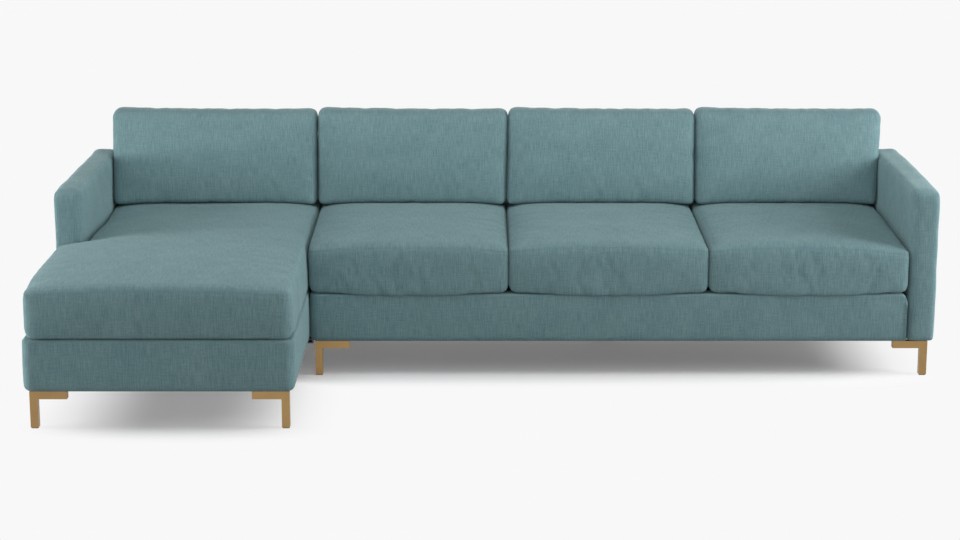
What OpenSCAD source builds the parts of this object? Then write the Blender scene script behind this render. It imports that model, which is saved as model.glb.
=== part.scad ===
// Sectional sofa: a three-seat section with a right arm, and a chaise section with a left arm.
// +X is to the right as seen from the front, the front faces -Y and the floor is Z = 0.
// The origin is under the middle of the whole sofa.

/* [Seats] */
// Width of one seat of the three-seat section
seat_w = 670; // [560:5:760]
// Width of the chaise seat, from its arm to the joint between the sections
chaise_seat_w = 750; // [640:5:880]
// Depth of the three-seat section, over its upholstery
sofa_depth = 830; // [780:5:920]
// How far the chaise reaches in front of the three-seat section
chaise_reach = 620; // [480:5:760]

/* [Heights] */
// Height of the legs, from the floor to the underside of the base
leg_h = 120; // [90:1:180]
// Height of the upholstered base
base_h = 167; // [150:1:200]
// Height of the arms and of the fixed back, above the base
arm_rise = 354; // [300:1:400]

/* [Arms and back] */
// Thickness of an arm, over its padding
arm_w = 92; // [84:1:120]
// Thickness of the fixed back, over its padding
back_t = 66; // [62:1:90]
// Softness of the arm's front and top edges, as a radius
arm_edge_r = 24; // [12:1:30]
// Softness of the top corners of the arm, seen from the front and the side
arm_corner_r = 32; // [20:1:38]

/* [Seat cushions] */
// Height of a seat cushion at its side edges
cushion_side_h = 170; // [150:1:182]
// Rise of a seat cushion from its side edges to its crown
cushion_crown = 22; // [8:1:30]
// Extra crown of the chaise cushion in front of the arm
chaise_crown_extra = 9; // [0:1:30]
// Depth of the dip behind that crown, beside the arm
chaise_dip = 18; // [0:1:20]
// Radius of a cushion's corners, seen from above
cushion_corner_r = 34; // [20:1:50]
// Gap between neighbouring cushions
cushion_gap = 1; // [0.8:0.1:4]

/* [Back cushions] */
// Height of a back cushion
back_cushion_h = 332; // [280:1:380]
// Thickness of a back cushion's bottom edge
back_cushion_bottom_t = 132; // [110:1:145]
// Thickness of a back cushion's top edge
back_cushion_top_t = 86; // [76:1:98]
// Rise of a back cushion's front face from its edges to its crown
back_cushion_crown = 14; // [6:1:24]

/* [Upholstery] */
// Padding and fabric on the outer face of a rail
cover_t = 14; // [10:1:18]
// Padding and fabric on top of a rail
cover_top_t = 8; // [6:1:12]
// Fabric turned under a rail, an arm or the back
cover_under_t = 4; // [3:0.5:6]
// Radius of the base's top edges
base_top_r = 10; // [8:1:22]
// Radius of the base's bottom edges
base_bottom_r = 14; // [8:1:18]
// Radius of the base's upright corners
base_corner_r = 28; // [16:1:34]
// Thickness of the deck pad and cloth over the seat springs
deck_t = 12; // [8:1:16]
// Thickness of the dust cover under the base
dust_t = 1.2; // [0.8:0.1:2]

/* [Frame] */
// Thickness of the seat frame's rails
rail_t = 28; // [24:1:34]
// Width of the posts and rails of the arm and back frames
post_w = 45; // [38:1:60]
// Height of the bottom rail of the arm and back frames
bottom_rail_h = 110; // [90:1:130]
// Widest free space between two posts, centre to centre
post_pitch = 330; // [260:5:336]
// Leg length of the triangular corner blocks
block_w = 80; // [60:1:100]

/* [Springs and webbing] */
// Seat springs under each seat
springs_per_seat = 4; // [4]
// Springs across the chaise in front of its arm
front_springs = 5; // [3:1:5]
// Springs across the chaise beside its arm
rear_springs = 6; // [4:1:6]
// Thickness of the spring wire
wire_t = 3.6; // [3:0.1:4.5]
// Overall width of a zigzag spring
spring_w = 52; // [44:1:60]
// Usual distance between two bars of a zigzag spring
spring_bar_pitch = 34; // [30:1:40]
// Width of a clip that holds a spring to a rail
clip_w = 15; // [10:1:20]
// Width of one belt of the back webbing
belt_w = 50; // [40:1:60]
// Thickness of the webbing
belt_t = 1.4; // [1:0.1:1.8]

/* [Legs and hardware] */
// Width of the square bar of a leg
leg_bar = 25; // [20:1:28]
// Length of a leg's top bar along the base
leg_foot_l = 117; // [104:1:130]
// Distance of a leg's outer faces from the upholstery's faces
leg_inset = 17; // [14:1:20]
// Thickness of the felt glide under a leg
glide_t = 2.5; // [2:0.5:5]
// Radius of the middle support leg
support_r = 22; // [15:1:30]
// Thickness of the connector plates
plate_t = 3; // [2:0.5:4]
// Radius of the connector rods
rod_r = 4.7; // [4:0.1:6]
// Gap between the two sections' upholstery
joint_gap = 2; // [1:0.5:6]

/* [Hidden] */

$fn = 48;
seats = 3;
// Clearance between two pieces that lie on each other
fit = 0.3;
// Overshoot of a cutting shape past the face that it cuts
over = 1;

// Plan sizes: local x runs from a section's left face, local y from the three-seat section's front face
seats_w = seats * seat_w;
sofa_w = seats_w + arm_w;
chaise_w = arm_w + chaise_seat_w;
total_w = chaise_w + joint_gap + sofa_w;
total_d = sofa_depth + chaise_reach;
sofa_x = -total_w / 2 + chaise_w + joint_gap;
chaise_x = -total_w / 2;
front_y = -total_d / 2 + chaise_reach;
back_in_y = sofa_depth - back_t;

// Heights above the floor
base_top = leg_h + base_h;
arm_top = base_top + arm_rise;
panel_h = base_h + arm_rise;
rail_z = leg_h + cover_under_t + fit;
rail_top = base_top - cover_top_t - fit;
rail_h = rail_top - rail_z;
cushion_z = base_top + fit;
deck_z = base_top - fit - deck_t;
spring_z = deck_z - fit - wire_t;
low_rail_h = 116;
// The end rails stay this far below the springs
end_rail_drop = 8;
end_rail_h = spring_z - end_rail_drop - rail_z;

// Rails and their covers
rail_in = cover_t + fit;
rail_back = rail_in + rail_t;
// A cover's lip reaches this far past its rail
lip_reach = 16;
lip_w = rail_back + lip_reach;
deck_edge = lip_w + fit;

// Inside of the fixed back: front pad, belts, timber, rear pad
back_front_pad = 8;
back_rear_pad = 10;
back_top_pad = 14;
back_end_pad = 10;
back_wood_y = back_front_pad + fit + belt_t + fit;
back_wood_t = back_t - back_rear_pad - fit - back_wood_y;
panel_top_rail_h = 60;
belts = 3;
// Free height between the frame's bottom rail and the lowest belt
belt_room = 30;
// Radii of the back cover: bottom edges, upright end edges, end corners, and top edges
back_low_r = 8;
back_end_r = 10;
back_corner_r = 16;
back_front_top_r = 18;
back_rear_top_r = 22;

// Inside of an arm
arm_wood_t = 44;
arm_front_pad = 20;
arm_rear_pad = 14;
arm_top_pad = 20;
arm_pad = (arm_w - arm_wood_t) / 2;
arm_posts = 4;
arm_inner_low_r = 4;
bolt_r = 4;
bolt_count = 4;
bolt_rise = 60;
bolt_z = leg_h + bolt_rise;
// Free length between a bolt and the corner block next to it
bolt_room = 20;
bolt_grip = 30;
bolt_head_r = 8;
bolt_head_t = 5;

// Leg screws, measured from the leg's outer end
screw_r = 2.3;
screw_hole_r = 2.7;
screw_head_r = 5;
screw_head_t = 3;
screw_l = 58;
screw_end_gap = [10, 17];
screw_at = [leg_bar + screw_end_gap[0], leg_foot_l - screw_end_gap[1]];
leg_top = leg_h - fit;
leg_y = leg_inset + leg_bar / 2;
leg_edge_r = 1.5;
leg_tip_r = 3;
leg_inner_r = 2;
glide_edge = 2;
// Free room round the support leg in the dust cover, and its taper
support_room = 2;
support_taper = 4;

// Spring clips
clip_t = 1.5;
clip_reach = 7;
clip_tail = 12;
spring_arc_steps = 4;

// Connectors, measured from the joint's middle plane
jaw_w = 40;
jaw_reach = 36;
jaw_lip_t = 2.5;
rod_back = 24;
connector_l = 44;
// Distance of the connectors from the front and from the rear of the three-seat section
connector_front = 90;
connector_rear = 190;
connector_y = [connector_front, sofa_depth - connector_rear];
// Gap between a connector's plate and the sections' joint
plate_gap = 4;
// Height from a plate down to the upper lip of its jaw
jaw_drop = 4;
// Play of a rod's cheeks beside the jaw
cheek_room = 2;
connector_z = leg_h - fit - plate_t;
rod_z = connector_z - jaw_drop - jaw_lip_t - fit - rod_r;

// Dust covers: gap to the legs and the connectors, and reach under the arm
dust_gap = 6;
dust_reach = 20;
dust_edge = leg_inset + leg_bar + dust_gap;

// Corner blocks: how much lower than the low rails they are, and the width of their cut tips
block_drop = 30;
block_tip = 12;

// Cushions
cushion_back_gap = 2;
seat_cushion_d = back_in_y - cushion_back_gap;
seat_line_z = cushion_z + cushion_side_h + cushion_crown + fit;
core_inset = 40;
core_top_gap = 24;
core_bottom_gap = 14;
outline_step = 88;
outline_arc_steps = 3;
// How far a seat and a back cushion's sides are drawn in between their corners
seat_draw_in = 2;
back_draw_in = 1.5;
// Radii of a back cushion's corners, from the bottom left one on
back_cushion_r = [18, 18, 28, 28];
// A seat's crown falls to the sides with this power of the distance from the middle
crown_power = 2.4;
// Shares of the crown that are lost at the front edge and at the back edge
front_fall = 0.2;
rear_fall = 0.3;
// The back cushions' crown is flat in the middle: powers of the distance across and up
back_power = [6, 4];

fabric_c = [0.46, 0.59, 0.6];
wood_c = [0.78, 0.64, 0.45];
foam_c = [0.93, 0.89, 0.72];
steel_c = [0.6, 0.61, 0.63];
brass_c = [0.76, 0.6, 0.36];
cloth_c = [0.2, 0.22, 0.23];
belt_c = [0.25, 0.24, 0.22];

// Placing

module on_sofa() {
    translate([sofa_x, front_y, 0]) children();
}

module on_chaise() {
    translate([chaise_x, front_y, 0]) children();
}

// Left and right are as seen from the front: swaps the ends of a piece that is w long
module swapped(w) {
    translate([w, 0, 0]) mirror([1, 0, 0]) children();
}

// Rounded blocks

// What a quarter circle of radius r leaves over in the corner at the origin
module corner_waste(r) {
    difference() {
        translate([-over, -over]) square(r + over);
        translate([r, r]) circle(r);
    }
}

// Rectangle with its own radius at each corner: left bottom, right bottom, right top, left top
module soft_rect(w, h, r) {
    difference() {
        square([w, h]);
        if (r[0] > 0) corner_waste(r[0]);
        if (r[1] > 0) translate([w, 0]) mirror([1, 0]) corner_waste(r[1]);
        if (r[2] > 0) translate([w, h]) rotate(180) corner_waste(r[2]);
        if (r[3] > 0) translate([0, h]) mirror([0, 1]) corner_waste(r[3]);
    }
}

// Block whose outline is rounded as given in the view from the front, from the right and from above
module soft_block(size, front, side, plan) {
    intersection() {
        translate([0, size.y, 0]) rotate([90, 0, 0]) linear_extrude(size.y)
            soft_rect(size.x, size.z, front);
        rotate([90, 0, 90]) linear_extrude(size.x) soft_rect(size.y, size.z, side);
        linear_extrude(size.z) soft_rect(size.x, size.y, plan);
    }
}

// Covers of the base: a padded strip that goes over, down and under a rail

// Strip l long with its face at y = 0. Its ends are rounded and closed, or plain and open
module rail_cover(l, rounded) {
    top_r = rounded ? base_top_r : 0;
    bottom_r = rounded ? base_bottom_r : 0;
    corner_r = rounded ? base_corner_r : 0;
    wall = rounded ? cover_t : -over;
    difference() {
        soft_block([l, lip_w, base_h], [bottom_r, bottom_r, top_r, top_r],
            [base_bottom_r, 0, 0, base_top_r], [corner_r, corner_r, 0, 0]);
        translate([wall, cover_t, cover_under_t])
            cube([l - 2 * wall, lip_w, base_h - cover_under_t - cover_top_t]);
    }
}

// Opens the end wall of a rail cover behind its rail, where the next rail runs
module inner_end_cut(l) {
    translate([l - cover_t - over, rail_back + fit, cover_under_t])
        cube([cover_t + 2 * over, lip_w, base_h - cover_under_t - cover_top_t]);
}

// The same strip along a side, with its face at x = 0 and running from y0 to y1
module side_cover(y0, y1) {
    translate([0, y1, leg_h]) rotate([0, 0, -90]) rail_cover(y1 - y0, false);
}

module leg_screw_holes(points) {
    for (p = points) translate([p.x, p.y, leg_h - over]) cylinder(r = screw_hole_r, h = screw_l);
}

// Frames

// Ladder of posts and rails in the x-z plane, t thick, with windows between the posts
module panel_frame(w, h, t, posts, mid_rail) {
    bay = (w - post_w) / (posts - 1);
    window_z = bottom_rail_h;
    window_h = h - bottom_rail_h - panel_top_rail_h;
    translate([0, t, 0]) rotate([90, 0, 0]) linear_extrude(t) difference() {
        square([w, h]);
        for (i = [0 : posts - 2]) translate([post_w + i * bay, window_z]) {
            if (mid_rail) {
                half_h = (window_h - post_w) / 2;
                square([bay - post_w, half_h]);
                translate([0, half_h + post_w]) square([bay - post_w, half_h]);
            } else square([bay - post_w, window_h]);
        }
    }
}

function post_count(w) = ceil((w - post_w) / post_pitch) + 1;

// Triangular block in the corner at the origin, filling the quarter x > 0, y > 0
module corner_block() {
    translate([fit, fit, rail_z]) linear_extrude(low_rail_h - block_drop)
        polygon([[0, 0], [block_w, 0], [block_w, block_tip], [block_tip, block_w], [0, block_w]]);
}

// Fixed back: w is its width and free_left or free_right an end that shows when the sections part

module back_cover_solid(w, free_left, free_right, screws) {
    l = free_left ? 1 : 0;
    r = free_right ? 1 : 0;
    difference() {
        translate([fit, back_in_y, leg_h]) soft_block([w - 2 * fit, back_t, panel_h],
            [back_low_r * l, back_low_r * r, back_corner_r * r, back_corner_r * l],
            [back_low_r, back_low_r, back_rear_top_r, back_front_top_r],
            [0, 0, back_end_r * r, back_end_r * l]);
        translate([back_end_pad, back_in_y + back_front_pad, leg_h + cover_under_t])
            cube([w - 2 * back_end_pad, back_t - back_front_pad - back_rear_pad,
                  panel_h - cover_under_t - back_top_pad]);
        leg_screw_holes(screws);
    }
}

module back_frame_solid(w, screws) {
    frame_w = w - 2 * (back_end_pad + fit);
    difference() {
        translate([back_end_pad + fit, back_in_y + back_wood_y, rail_z])
            panel_frame(frame_w, panel_h - cover_under_t - back_top_pad - 2 * fit, back_wood_t,
                post_count(frame_w), true);
        leg_screw_holes(screws);
    }
}

module back_belts(w) {
    low_z = leg_h + bottom_rail_h + belt_room;
    high_z = arm_top - back_top_pad - panel_top_rail_h;
    step = (high_z - low_z) / belts;
    x = back_end_pad + fit;
    for (i = [0 : belts - 1])
        translate([x, back_in_y + back_front_pad + fit, low_z + (i + 0.5) * step - belt_w / 2])
            cube([w - 2 * x, belt_t, belt_w]);
}

// Arm, drawn as the right arm with its inner face at x = 0

// Bolts are spread along the arm between the corner blocks
bolt_first_y = rail_back + block_w + bolt_room;
bolt_last_y = back_in_y - rail_t - block_w - bolt_room;
function bolt_y(i) = bolt_first_y + i * (bolt_last_y - bolt_first_y) / (bolt_count - 1);

module arm_cover_solid(screws) {
    difference() {
        translate([0, 0, leg_h]) soft_block([arm_w, sofa_depth, panel_h],
            [arm_inner_low_r, base_bottom_r, arm_corner_r, arm_edge_r],
            [base_bottom_r, base_bottom_r, arm_edge_r, arm_corner_r],
            [arm_edge_r, arm_edge_r, base_bottom_r, 0]);
        translate([arm_pad, arm_front_pad, leg_h + cover_under_t])
            cube([arm_wood_t, sofa_depth - arm_front_pad - arm_rear_pad,
                  panel_h - cover_under_t - arm_top_pad]);
        for (i = [0 : bolt_count - 1])
            translate([-over, bolt_y(i), bolt_z]) rotate([0, 90, 0])
                cylinder(r = bolt_r + fit, h = arm_pad + 2 * over);
        leg_screw_holes(screws);
    }
}

module arm_frame_solid(screws) {
    t = arm_wood_t - 2 * fit;
    l = sofa_depth - arm_front_pad - arm_rear_pad - 2 * fit;
    difference() {
        translate([arm_pad + fit + t, arm_front_pad + fit, rail_z]) rotate([0, 0, 90])
            panel_frame(l, panel_h - cover_under_t - arm_top_pad - 2 * fit, t, arm_posts, false);
        for (i = [0 : bolt_count - 1])
            translate([arm_pad - over, bolt_y(i), bolt_z]) rotate([0, 90, 0])
                cylinder(r = bolt_r + fit, h = bolt_grip + 2 * over);
        leg_screw_holes(screws);
    }
}

// Bolts through the end rail and the arm's padding into the arm frame
module arm_bolts_solid() {
    for (i = [0 : bolt_count - 1]) translate([-rail_t - 2 * fit, bolt_y(i), bolt_z]) rotate([0, 90, 0]) {
        cylinder(r = bolt_r, h = rail_t + 2 * fit + arm_pad + bolt_grip - over);
        translate([0, 0, -bolt_head_t]) cylinder(r = bolt_head_r, h = bolt_head_t, $fn = 6);
    }
}

// Rail that the arm is bolted to, with its outer face at x = 0
module arm_rail(y0, y1, h) {
    difference() {
        translate([-rail_t - fit, y0, rail_z]) cube([rail_t, y1 - y0, h]);
        for (i = [0 : bolt_count - 1])
            translate([-rail_t - fit - over, bolt_y(i), bolt_z]) rotate([0, 90, 0])
                cylinder(r = bolt_r + fit, h = rail_t + 2 * over);
    }
}

// Springs

// Outline of a zigzag wire: bars along x at every p along y, joined by half turns at alternate sides.
// side is +1 for the wire's left edge and -1 for its right edge
function zigzag_edge(n, p, side) = [
    [-spring_w / 2, side * wire_t / 2],
    for (i = [0 : n - 1])
        let (turn = i % 2 == 0 ? 1 : -1, r = p / 2 - side * turn * wire_t / 2)
            for (k = [0 : spring_arc_steps])
                let (a = -90 + 180 * k / spring_arc_steps)
                    [turn * (spring_w / 2 - p / 2 + r * cos(a)), (i + 0.5) * p + r * sin(a)],
    [(n % 2 == 0 ? 1 : -1) * spring_w / 2, n * p + (n % 2 == 0 ? 1 : -1) * side * wire_t / 2]
];

function reversed(list) = [for (i = [len(list) - 1 : -1 : 0]) list[i]];

// Zigzag spring along y between two rails whose inner faces are at y = 0 and y = span
module zigzag_spring(span) {
    run = span - 2 * clip_reach;
    n = round(run / spring_bar_pitch);
    p = run / n;
    translate([0, clip_reach, spring_z]) linear_extrude(wire_t)
        polygon(concat(zigzag_edge(n, p, 1), reversed(zigzag_edge(n, p, -1))));
}

// Folded clip round the spring's end bar, with its nailing tail on the rail's face at y = 0
module spring_clip() {
    slot = wire_t + 2 * fit;
    eye_y = clip_reach - slot / 2;
    translate([-clip_w / 2, 0, 0]) rotate([90, 0, 90]) linear_extrude(clip_w) difference() {
        union() {
            translate([fit, spring_z - fit - clip_t])
                square([eye_y + slot + clip_t - fit, slot + 2 * clip_t]);
            translate([fit, spring_z - fit - clip_t - clip_tail]) square([clip_t, clip_tail + over]);
        }
        translate([eye_y, spring_z - fit]) square([slot, slot]);
    }
}

module clip_pair(span) {
    spring_clip();
    translate([0, span, 0]) mirror([0, 1, 0]) spring_clip();
}

// Legs

// Inverted L of square bar, outer end at x = 0 and outer face at y = 0
module corner_leg() {
    foot_z = glide_t + fit;
    difference() {
        translate([0, leg_bar, 0]) rotate([90, 0, 0]) linear_extrude(leg_bar) difference() {
            translate([0, foot_z])
                soft_rect(leg_foot_l, leg_top - foot_z, [leg_edge_r, 0, leg_tip_r, leg_edge_r]);
            translate([leg_bar, 0]) soft_rect(leg_foot_l, leg_top - leg_bar, [0, 0, 0, leg_inner_r]);
        }
        for (x = screw_at) translate([x, leg_bar / 2, leg_top - leg_bar]) {
            translate([0, 0, -over]) cylinder(r = screw_hole_r, h = leg_bar + 2 * over);
            translate([0, 0, -over]) cylinder(r1 = screw_head_r + over + fit, r2 = screw_hole_r,
                h = screw_head_t + over);
        }
    }
}

// Countersunk screws of one leg
module corner_screws() {
    for (x = screw_at) translate([x, leg_bar / 2, leg_top - leg_bar + fit]) {
        cylinder(r1 = screw_head_r - fit, r2 = screw_r, h = screw_head_t);
        cylinder(r = screw_r, h = screw_l);
    }
}

module corner_glide() {
    w = leg_bar - 2 * glide_edge;
    translate([glide_edge, glide_edge, 0]) linear_extrude(glide_t)
        soft_rect(w, w, [glide_edge, glide_edge, glide_edge, glide_edge]);
}

// Children at each of the four corners of a section w wide that reaches from y0 to y1
module at_corners(w, y0, y1) {
    for (flip_x = [0, 1]) for (flip_y = [0, 1])
        translate([flip_x ? w - leg_inset : leg_inset, flip_y ? y1 - leg_inset : y0 + leg_inset, 0])
            mirror([flip_x, 0, 0]) mirror([0, flip_y, 0]) children();
}

function front_screws(w, y0) = [
    for (x = screw_at) each [[leg_inset + x, y0 + leg_y], [w - leg_inset - x, y0 + leg_y]]
];
function rear_screws(w) = front_screws(w, sofa_depth - 2 * leg_y);
sofa_screws = concat(front_screws(sofa_w, 0), rear_screws(sofa_w));
chaise_screws = concat(front_screws(chaise_w, -chaise_reach), rear_screws(chaise_w));
function moved(points, dx) = [for (p = points) [p.x - dx, p.y]];
function mirrored(points, w) = [for (p = points) [w - p.x, p.y]];

// Cushions: a stack of rings. Each ring is the outline drawn in towards the centre by a factor,
// at a share of the height that the crowned top has there

function unit(v) = v / norm(v);

// Outline with a rounded corner at each vertex and extra points along its sides, which are drawn in
function soft_outline(corners, radii, draw_in, step, arc_steps) = [
    for (i = [0 : len(corners) - 1])
        let (
            n = len(corners),
            v = corners[i],
            next = corners[(i + 1) % n],
            to_last = unit(corners[(i + n - 1) % n] - v),
            to_next = unit(next - v),
            r = radii[i],
            run_start = v + r * to_next,
            run = next - to_next * radii[(i + 1) % n] - run_start,
            inward = [-to_next.y, to_next.x],
            count = max(1, round(norm(run) / step))
        )
        each concat(
            [for (k = [0 : arc_steps])
                let (a = 90 * k / arc_steps)
                    v + r * (to_last + to_next) - r * (to_next * cos(a) + to_last * sin(a))],
            [for (k = [1 : count - 1])
                let (t = k / count) run_start + t * run + inward * draw_in * 4 * t * (1 - t)]
        )
];

// Rings from the bottom to the seam, then over the crown: [share of the outline, share of the height]
side_rings = [
    [0.94, 0], [0.98, 0.05], [1, 0.17], [1, 0.55], [0.995, 0.84],
    [0.985, 0.93], [0.978, 0.95], [0.968, 0.985]
];
// Shares of the outline for the rings of an even crown, and of the chaise's uneven one
crown_rings = [0.92, 0.8, 0.58, 0.3];
chaise_rings = [0.92, 0.81, 0.7, 0.59, 0.46, 0.3, 0.14];

module ring_stack(outline, centre, shares, height) {
    n = len(outline);
    stack = concat(side_rings, [for (share = shares) [share, 1]]);
    rings = len(stack);
    points = concat(
        [for (ring = stack) for (p = outline)
            let (q = centre + (p - centre) * ring[0]) [q.x, q.y, height(q) * ring[1]]],
        [[centre.x, centre.y, 0], [centre.x, centre.y, height(centre)]]
    );
    faces = concat(
        [for (k = [0 : rings - 2]) for (i = [0 : n - 1])
            let (j = (i + 1) % n) each [
                [k * n + i, (k + 1) * n + i, (k + 1) * n + j],
                [k * n + i, (k + 1) * n + j, k * n + j]
            ]],
        [for (i = [0 : n - 1]) [rings * n, i, (i + 1) % n]],
        [for (i = [0 : n - 1]) [rings * n + 1, (rings - 1) * n + (i + 1) % n, (rings - 1) * n + i]]
    );
    polyhedron(points, faces, convexity = 4);
}

function clamp1(x) = max(-1, min(1, x));

// Top of a seat cushion at a point: a crown that falls to the sides, and less to the front and the back
function seat_height(q, w, d) =
    let (
        u = abs(clamp1(2 * q.x / w - 1)),
        v = clamp1(2 * q.y / d - 1),
        across = 1 - pow(u, crown_power),
        along = v < 0 ? 1 - front_fall * pow(-v, 3) : 1 - rear_fall * pow(v, 4)
    )
    cushion_side_h + cushion_crown * across * along;

module seat_cushion_body() {
    w = seat_w - cushion_gap;
    r = cushion_corner_r;
    outline = soft_outline([[0, 0], [w, 0], [w, seat_cushion_d], [0, seat_cushion_d]],
        [r, r, r, r], seat_draw_in, outline_step, outline_arc_steps);
    ring_stack(outline, [w / 2, seat_cushion_d / 2], crown_rings,
        function(q) seat_height(q, w, seat_cushion_d));
}

module seat_core_block(w, d, grow) {
    translate([core_inset - grow, core_inset - grow, core_bottom_gap - grow])
        cube([w - 2 * (core_inset - grow), d - 2 * (core_inset - grow),
              cushion_side_h - core_bottom_gap - core_top_gap + 2 * grow]);
}

module on_seat(i) {
    on_sofa() translate([i * seat_w + cushion_gap / 2, 0, cushion_z]) children();
}

module seat_cushion_cover(i) {
    color(fabric_c) on_seat(i) difference() {
        seat_cushion_body();
        seat_core_block(seat_w - cushion_gap, seat_cushion_d, fit);
    }
}

module seat_cushion_core(i) {
    color(foam_c) on_seat(i) seat_core_block(seat_w - cushion_gap, seat_cushion_d, 0);
}

// Thickness of a back cushion at a point of its front view, w wide
function back_thickness(q, w) =
    let (
        u = clamp1(2 * q.x / w - 1),
        v = clamp1(2 * q.y / back_cushion_h - 1),
        edge = back_cushion_bottom_t + (back_cushion_top_t - back_cushion_bottom_t) * q.y / back_cushion_h
    )
    edge + back_cushion_crown * (1 - pow(abs(u), back_power[0])) * (1 - pow(abs(v), back_power[1]));

module back_cushion_body(w) {
    outline = soft_outline([[0, 0], [w, 0], [w, back_cushion_h], [0, back_cushion_h]],
        back_cushion_r, back_draw_in, outline_step, outline_arc_steps);
    ring_stack(outline, [w / 2, back_cushion_h / 2], crown_rings, function(q) back_thickness(q, w));
}

module back_core_block(w, grow) {
    inset = core_inset - grow;
    translate([inset, inset, core_bottom_gap - grow])
        cube([w - 2 * inset, back_cushion_h - 2 * inset,
              back_cushion_top_t - core_bottom_gap - core_top_gap + 2 * grow]);
}

// Stands a cushion drawn flat upright, with its flat side against the fixed back
module against_back(x) {
    translate([x, back_in_y - fit, seat_line_z]) rotate([90, 0, 0]) children();
}

module back_cushion_cover(x, w) {
    against_back(x) difference() {
        back_cushion_body(w);
        back_core_block(w, fit);
    }
}

module sofa_back_cover(i) {
    color(fabric_c) on_sofa() back_cushion_cover(i * seat_w + cushion_gap / 2, seat_w - cushion_gap);
}

module sofa_back_core(i) {
    color(foam_c) on_sofa() against_back(i * seat_w + cushion_gap / 2)
        back_core_block(seat_w - cushion_gap, 0);
}

// Three-seat section

module front_rail() {
    color(wood_c) on_sofa() difference() {
        translate([rail_in, rail_in, rail_z]) cube([seats_w - fit - 2 * rail_in, rail_t, rail_h]);
        leg_screw_holes(sofa_screws);
    }
}

module back_rail() {
    color(wood_c) on_sofa() translate([rail_in, back_in_y - fit - rail_t, rail_z])
        cube([seats_w - fit - rail_in, rail_t, rail_h]);
}

// Inner faces of the front and back rails
rails_y = [rail_back + fit, back_in_y - 2 * fit - rail_t];

module end_rails() {
    color(wood_c) on_sofa() {
        translate([rail_in, rails_y[0], rail_z]) cube([rail_t, rails_y[1] - rails_y[0], end_rail_h]);
        translate([seats_w, 0, 0]) arm_rail(rails_y[0], rails_y[1], end_rail_h);
    }
}

module cross_rails() {
    color(wood_c) on_sofa() for (k = [1, 2, 3])
        translate([k * seats_w / 4 - rail_t / 2, rails_y[0], rail_z])
            cube([rail_t, rails_y[1] - rails_y[0], low_rail_h]);
}

module corner_blocks() {
    left = rail_in + rail_t;
    right = seats_w - fit - rail_t;
    color(wood_c) on_sofa() for (k = [0, 1]) {
        y = rails_y[k] + (k == 0 ? -fit : fit);
        translate([left, y, 0]) mirror([0, k, 0]) corner_block();
        translate([right, y, 0]) mirror([1, 0, 0]) mirror([0, k, 0]) corner_block();
    }
}

sofa_span = back_in_y - fit - rail_t - rail_back;

module at_sofa_springs() {
    pitch = seat_w / springs_per_seat;
    for (i = [0 : seats * springs_per_seat - 1]) translate([(i + 0.5) * pitch, rail_back, 0]) children();
}

module seat_springs() {
    color(steel_c) on_sofa() at_sofa_springs() zigzag_spring(sofa_span);
}

module spring_clips() {
    color(steel_c) on_sofa() at_sofa_springs() clip_pair(sofa_span);
}

// The deck stops short of the clips
clip_room = clip_reach + wire_t / 2 + clip_t + 2 * fit;
deck_back_y = back_in_y - fit - rail_t - clip_room;

module deck() {
    color(cloth_c) on_sofa() translate([deck_edge, deck_edge, deck_z])
        cube([seats_w - fit - deck_edge, deck_back_y - deck_edge, deck_t]);
}

// The support leg stands behind the middle, where the load is
support_y = back_in_y * 0.7;

module dust_cover() {
    x0 = connector_l + dust_gap;
    color(cloth_c) on_sofa() difference() {
        translate([x0, dust_edge, leg_h - fit - dust_t])
            cube([seats_w + dust_reach - x0, sofa_depth - 2 * dust_edge, dust_t]);
        translate([seats_w / 2, support_y, leg_h - fit - dust_t - over])
            cylinder(r = support_r + support_room, h = dust_t + 2 * over);
    }
}

module front_cover() {
    color(fabric_c) on_sofa() difference() {
        translate([0, 0, leg_h]) rail_cover(seats_w - fit, true);
        translate([0, 0, leg_h]) inner_end_cut(seats_w - fit);
        leg_screw_holes(sofa_screws);
    }
}

module end_cover() {
    color(fabric_c) on_sofa() side_cover(lip_w + fit, back_in_y - fit);
}

module back_frame() {
    color(wood_c) on_sofa() back_frame_solid(seats_w, sofa_screws);
}

module back_webbing() {
    color(belt_c) on_sofa() back_belts(seats_w);
}

module back_cover() {
    color(fabric_c) on_sofa() back_cover_solid(seats_w, true, false, sofa_screws);
}

module right_arm_frame() {
    color(wood_c) on_sofa() translate([seats_w, 0, 0]) arm_frame_solid(moved(sofa_screws, seats_w));
}

module right_arm_cover() {
    color(fabric_c) on_sofa() translate([seats_w, 0, 0]) arm_cover_solid(moved(sofa_screws, seats_w));
}

module right_arm_bolts() {
    color(steel_c) on_sofa() translate([seats_w, 0, 0]) arm_bolts_solid();
}

module legs() {
    color(brass_c) on_sofa() at_corners(sofa_w, 0, sofa_depth) corner_leg();
}

module leg_screws() {
    color(steel_c) on_sofa() at_corners(sofa_w, 0, sofa_depth) corner_screws();
}

module leg_glides() {
    color(belt_c) on_sofa() {
        at_corners(sofa_w, 0, sofa_depth) corner_glide();
        translate([seats_w / 2, support_y, 0]) cylinder(r = support_r - glide_edge, h = glide_t);
    }
}

// Turned post under the middle cross rail, tapering to the floor
module support_leg() {
    color(belt_c) on_sofa() translate([seats_w / 2, support_y, glide_t + fit]) {
        h = rail_z - fit - glide_t - fit;
        cylinder(r1 = support_r - support_taper, r2 = support_r, h = h);
    }
}

// Connectors: each jaw of the three-seat section takes a rod of the chaise section

module at_connectors() {
    translate([sofa_x - joint_gap / 2, front_y, 0])
        for (y = connector_y) translate([0, y, 0]) children();
}

plate_x = joint_gap / 2 + plate_gap;
plate_l = connector_l - plate_gap;

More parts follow.
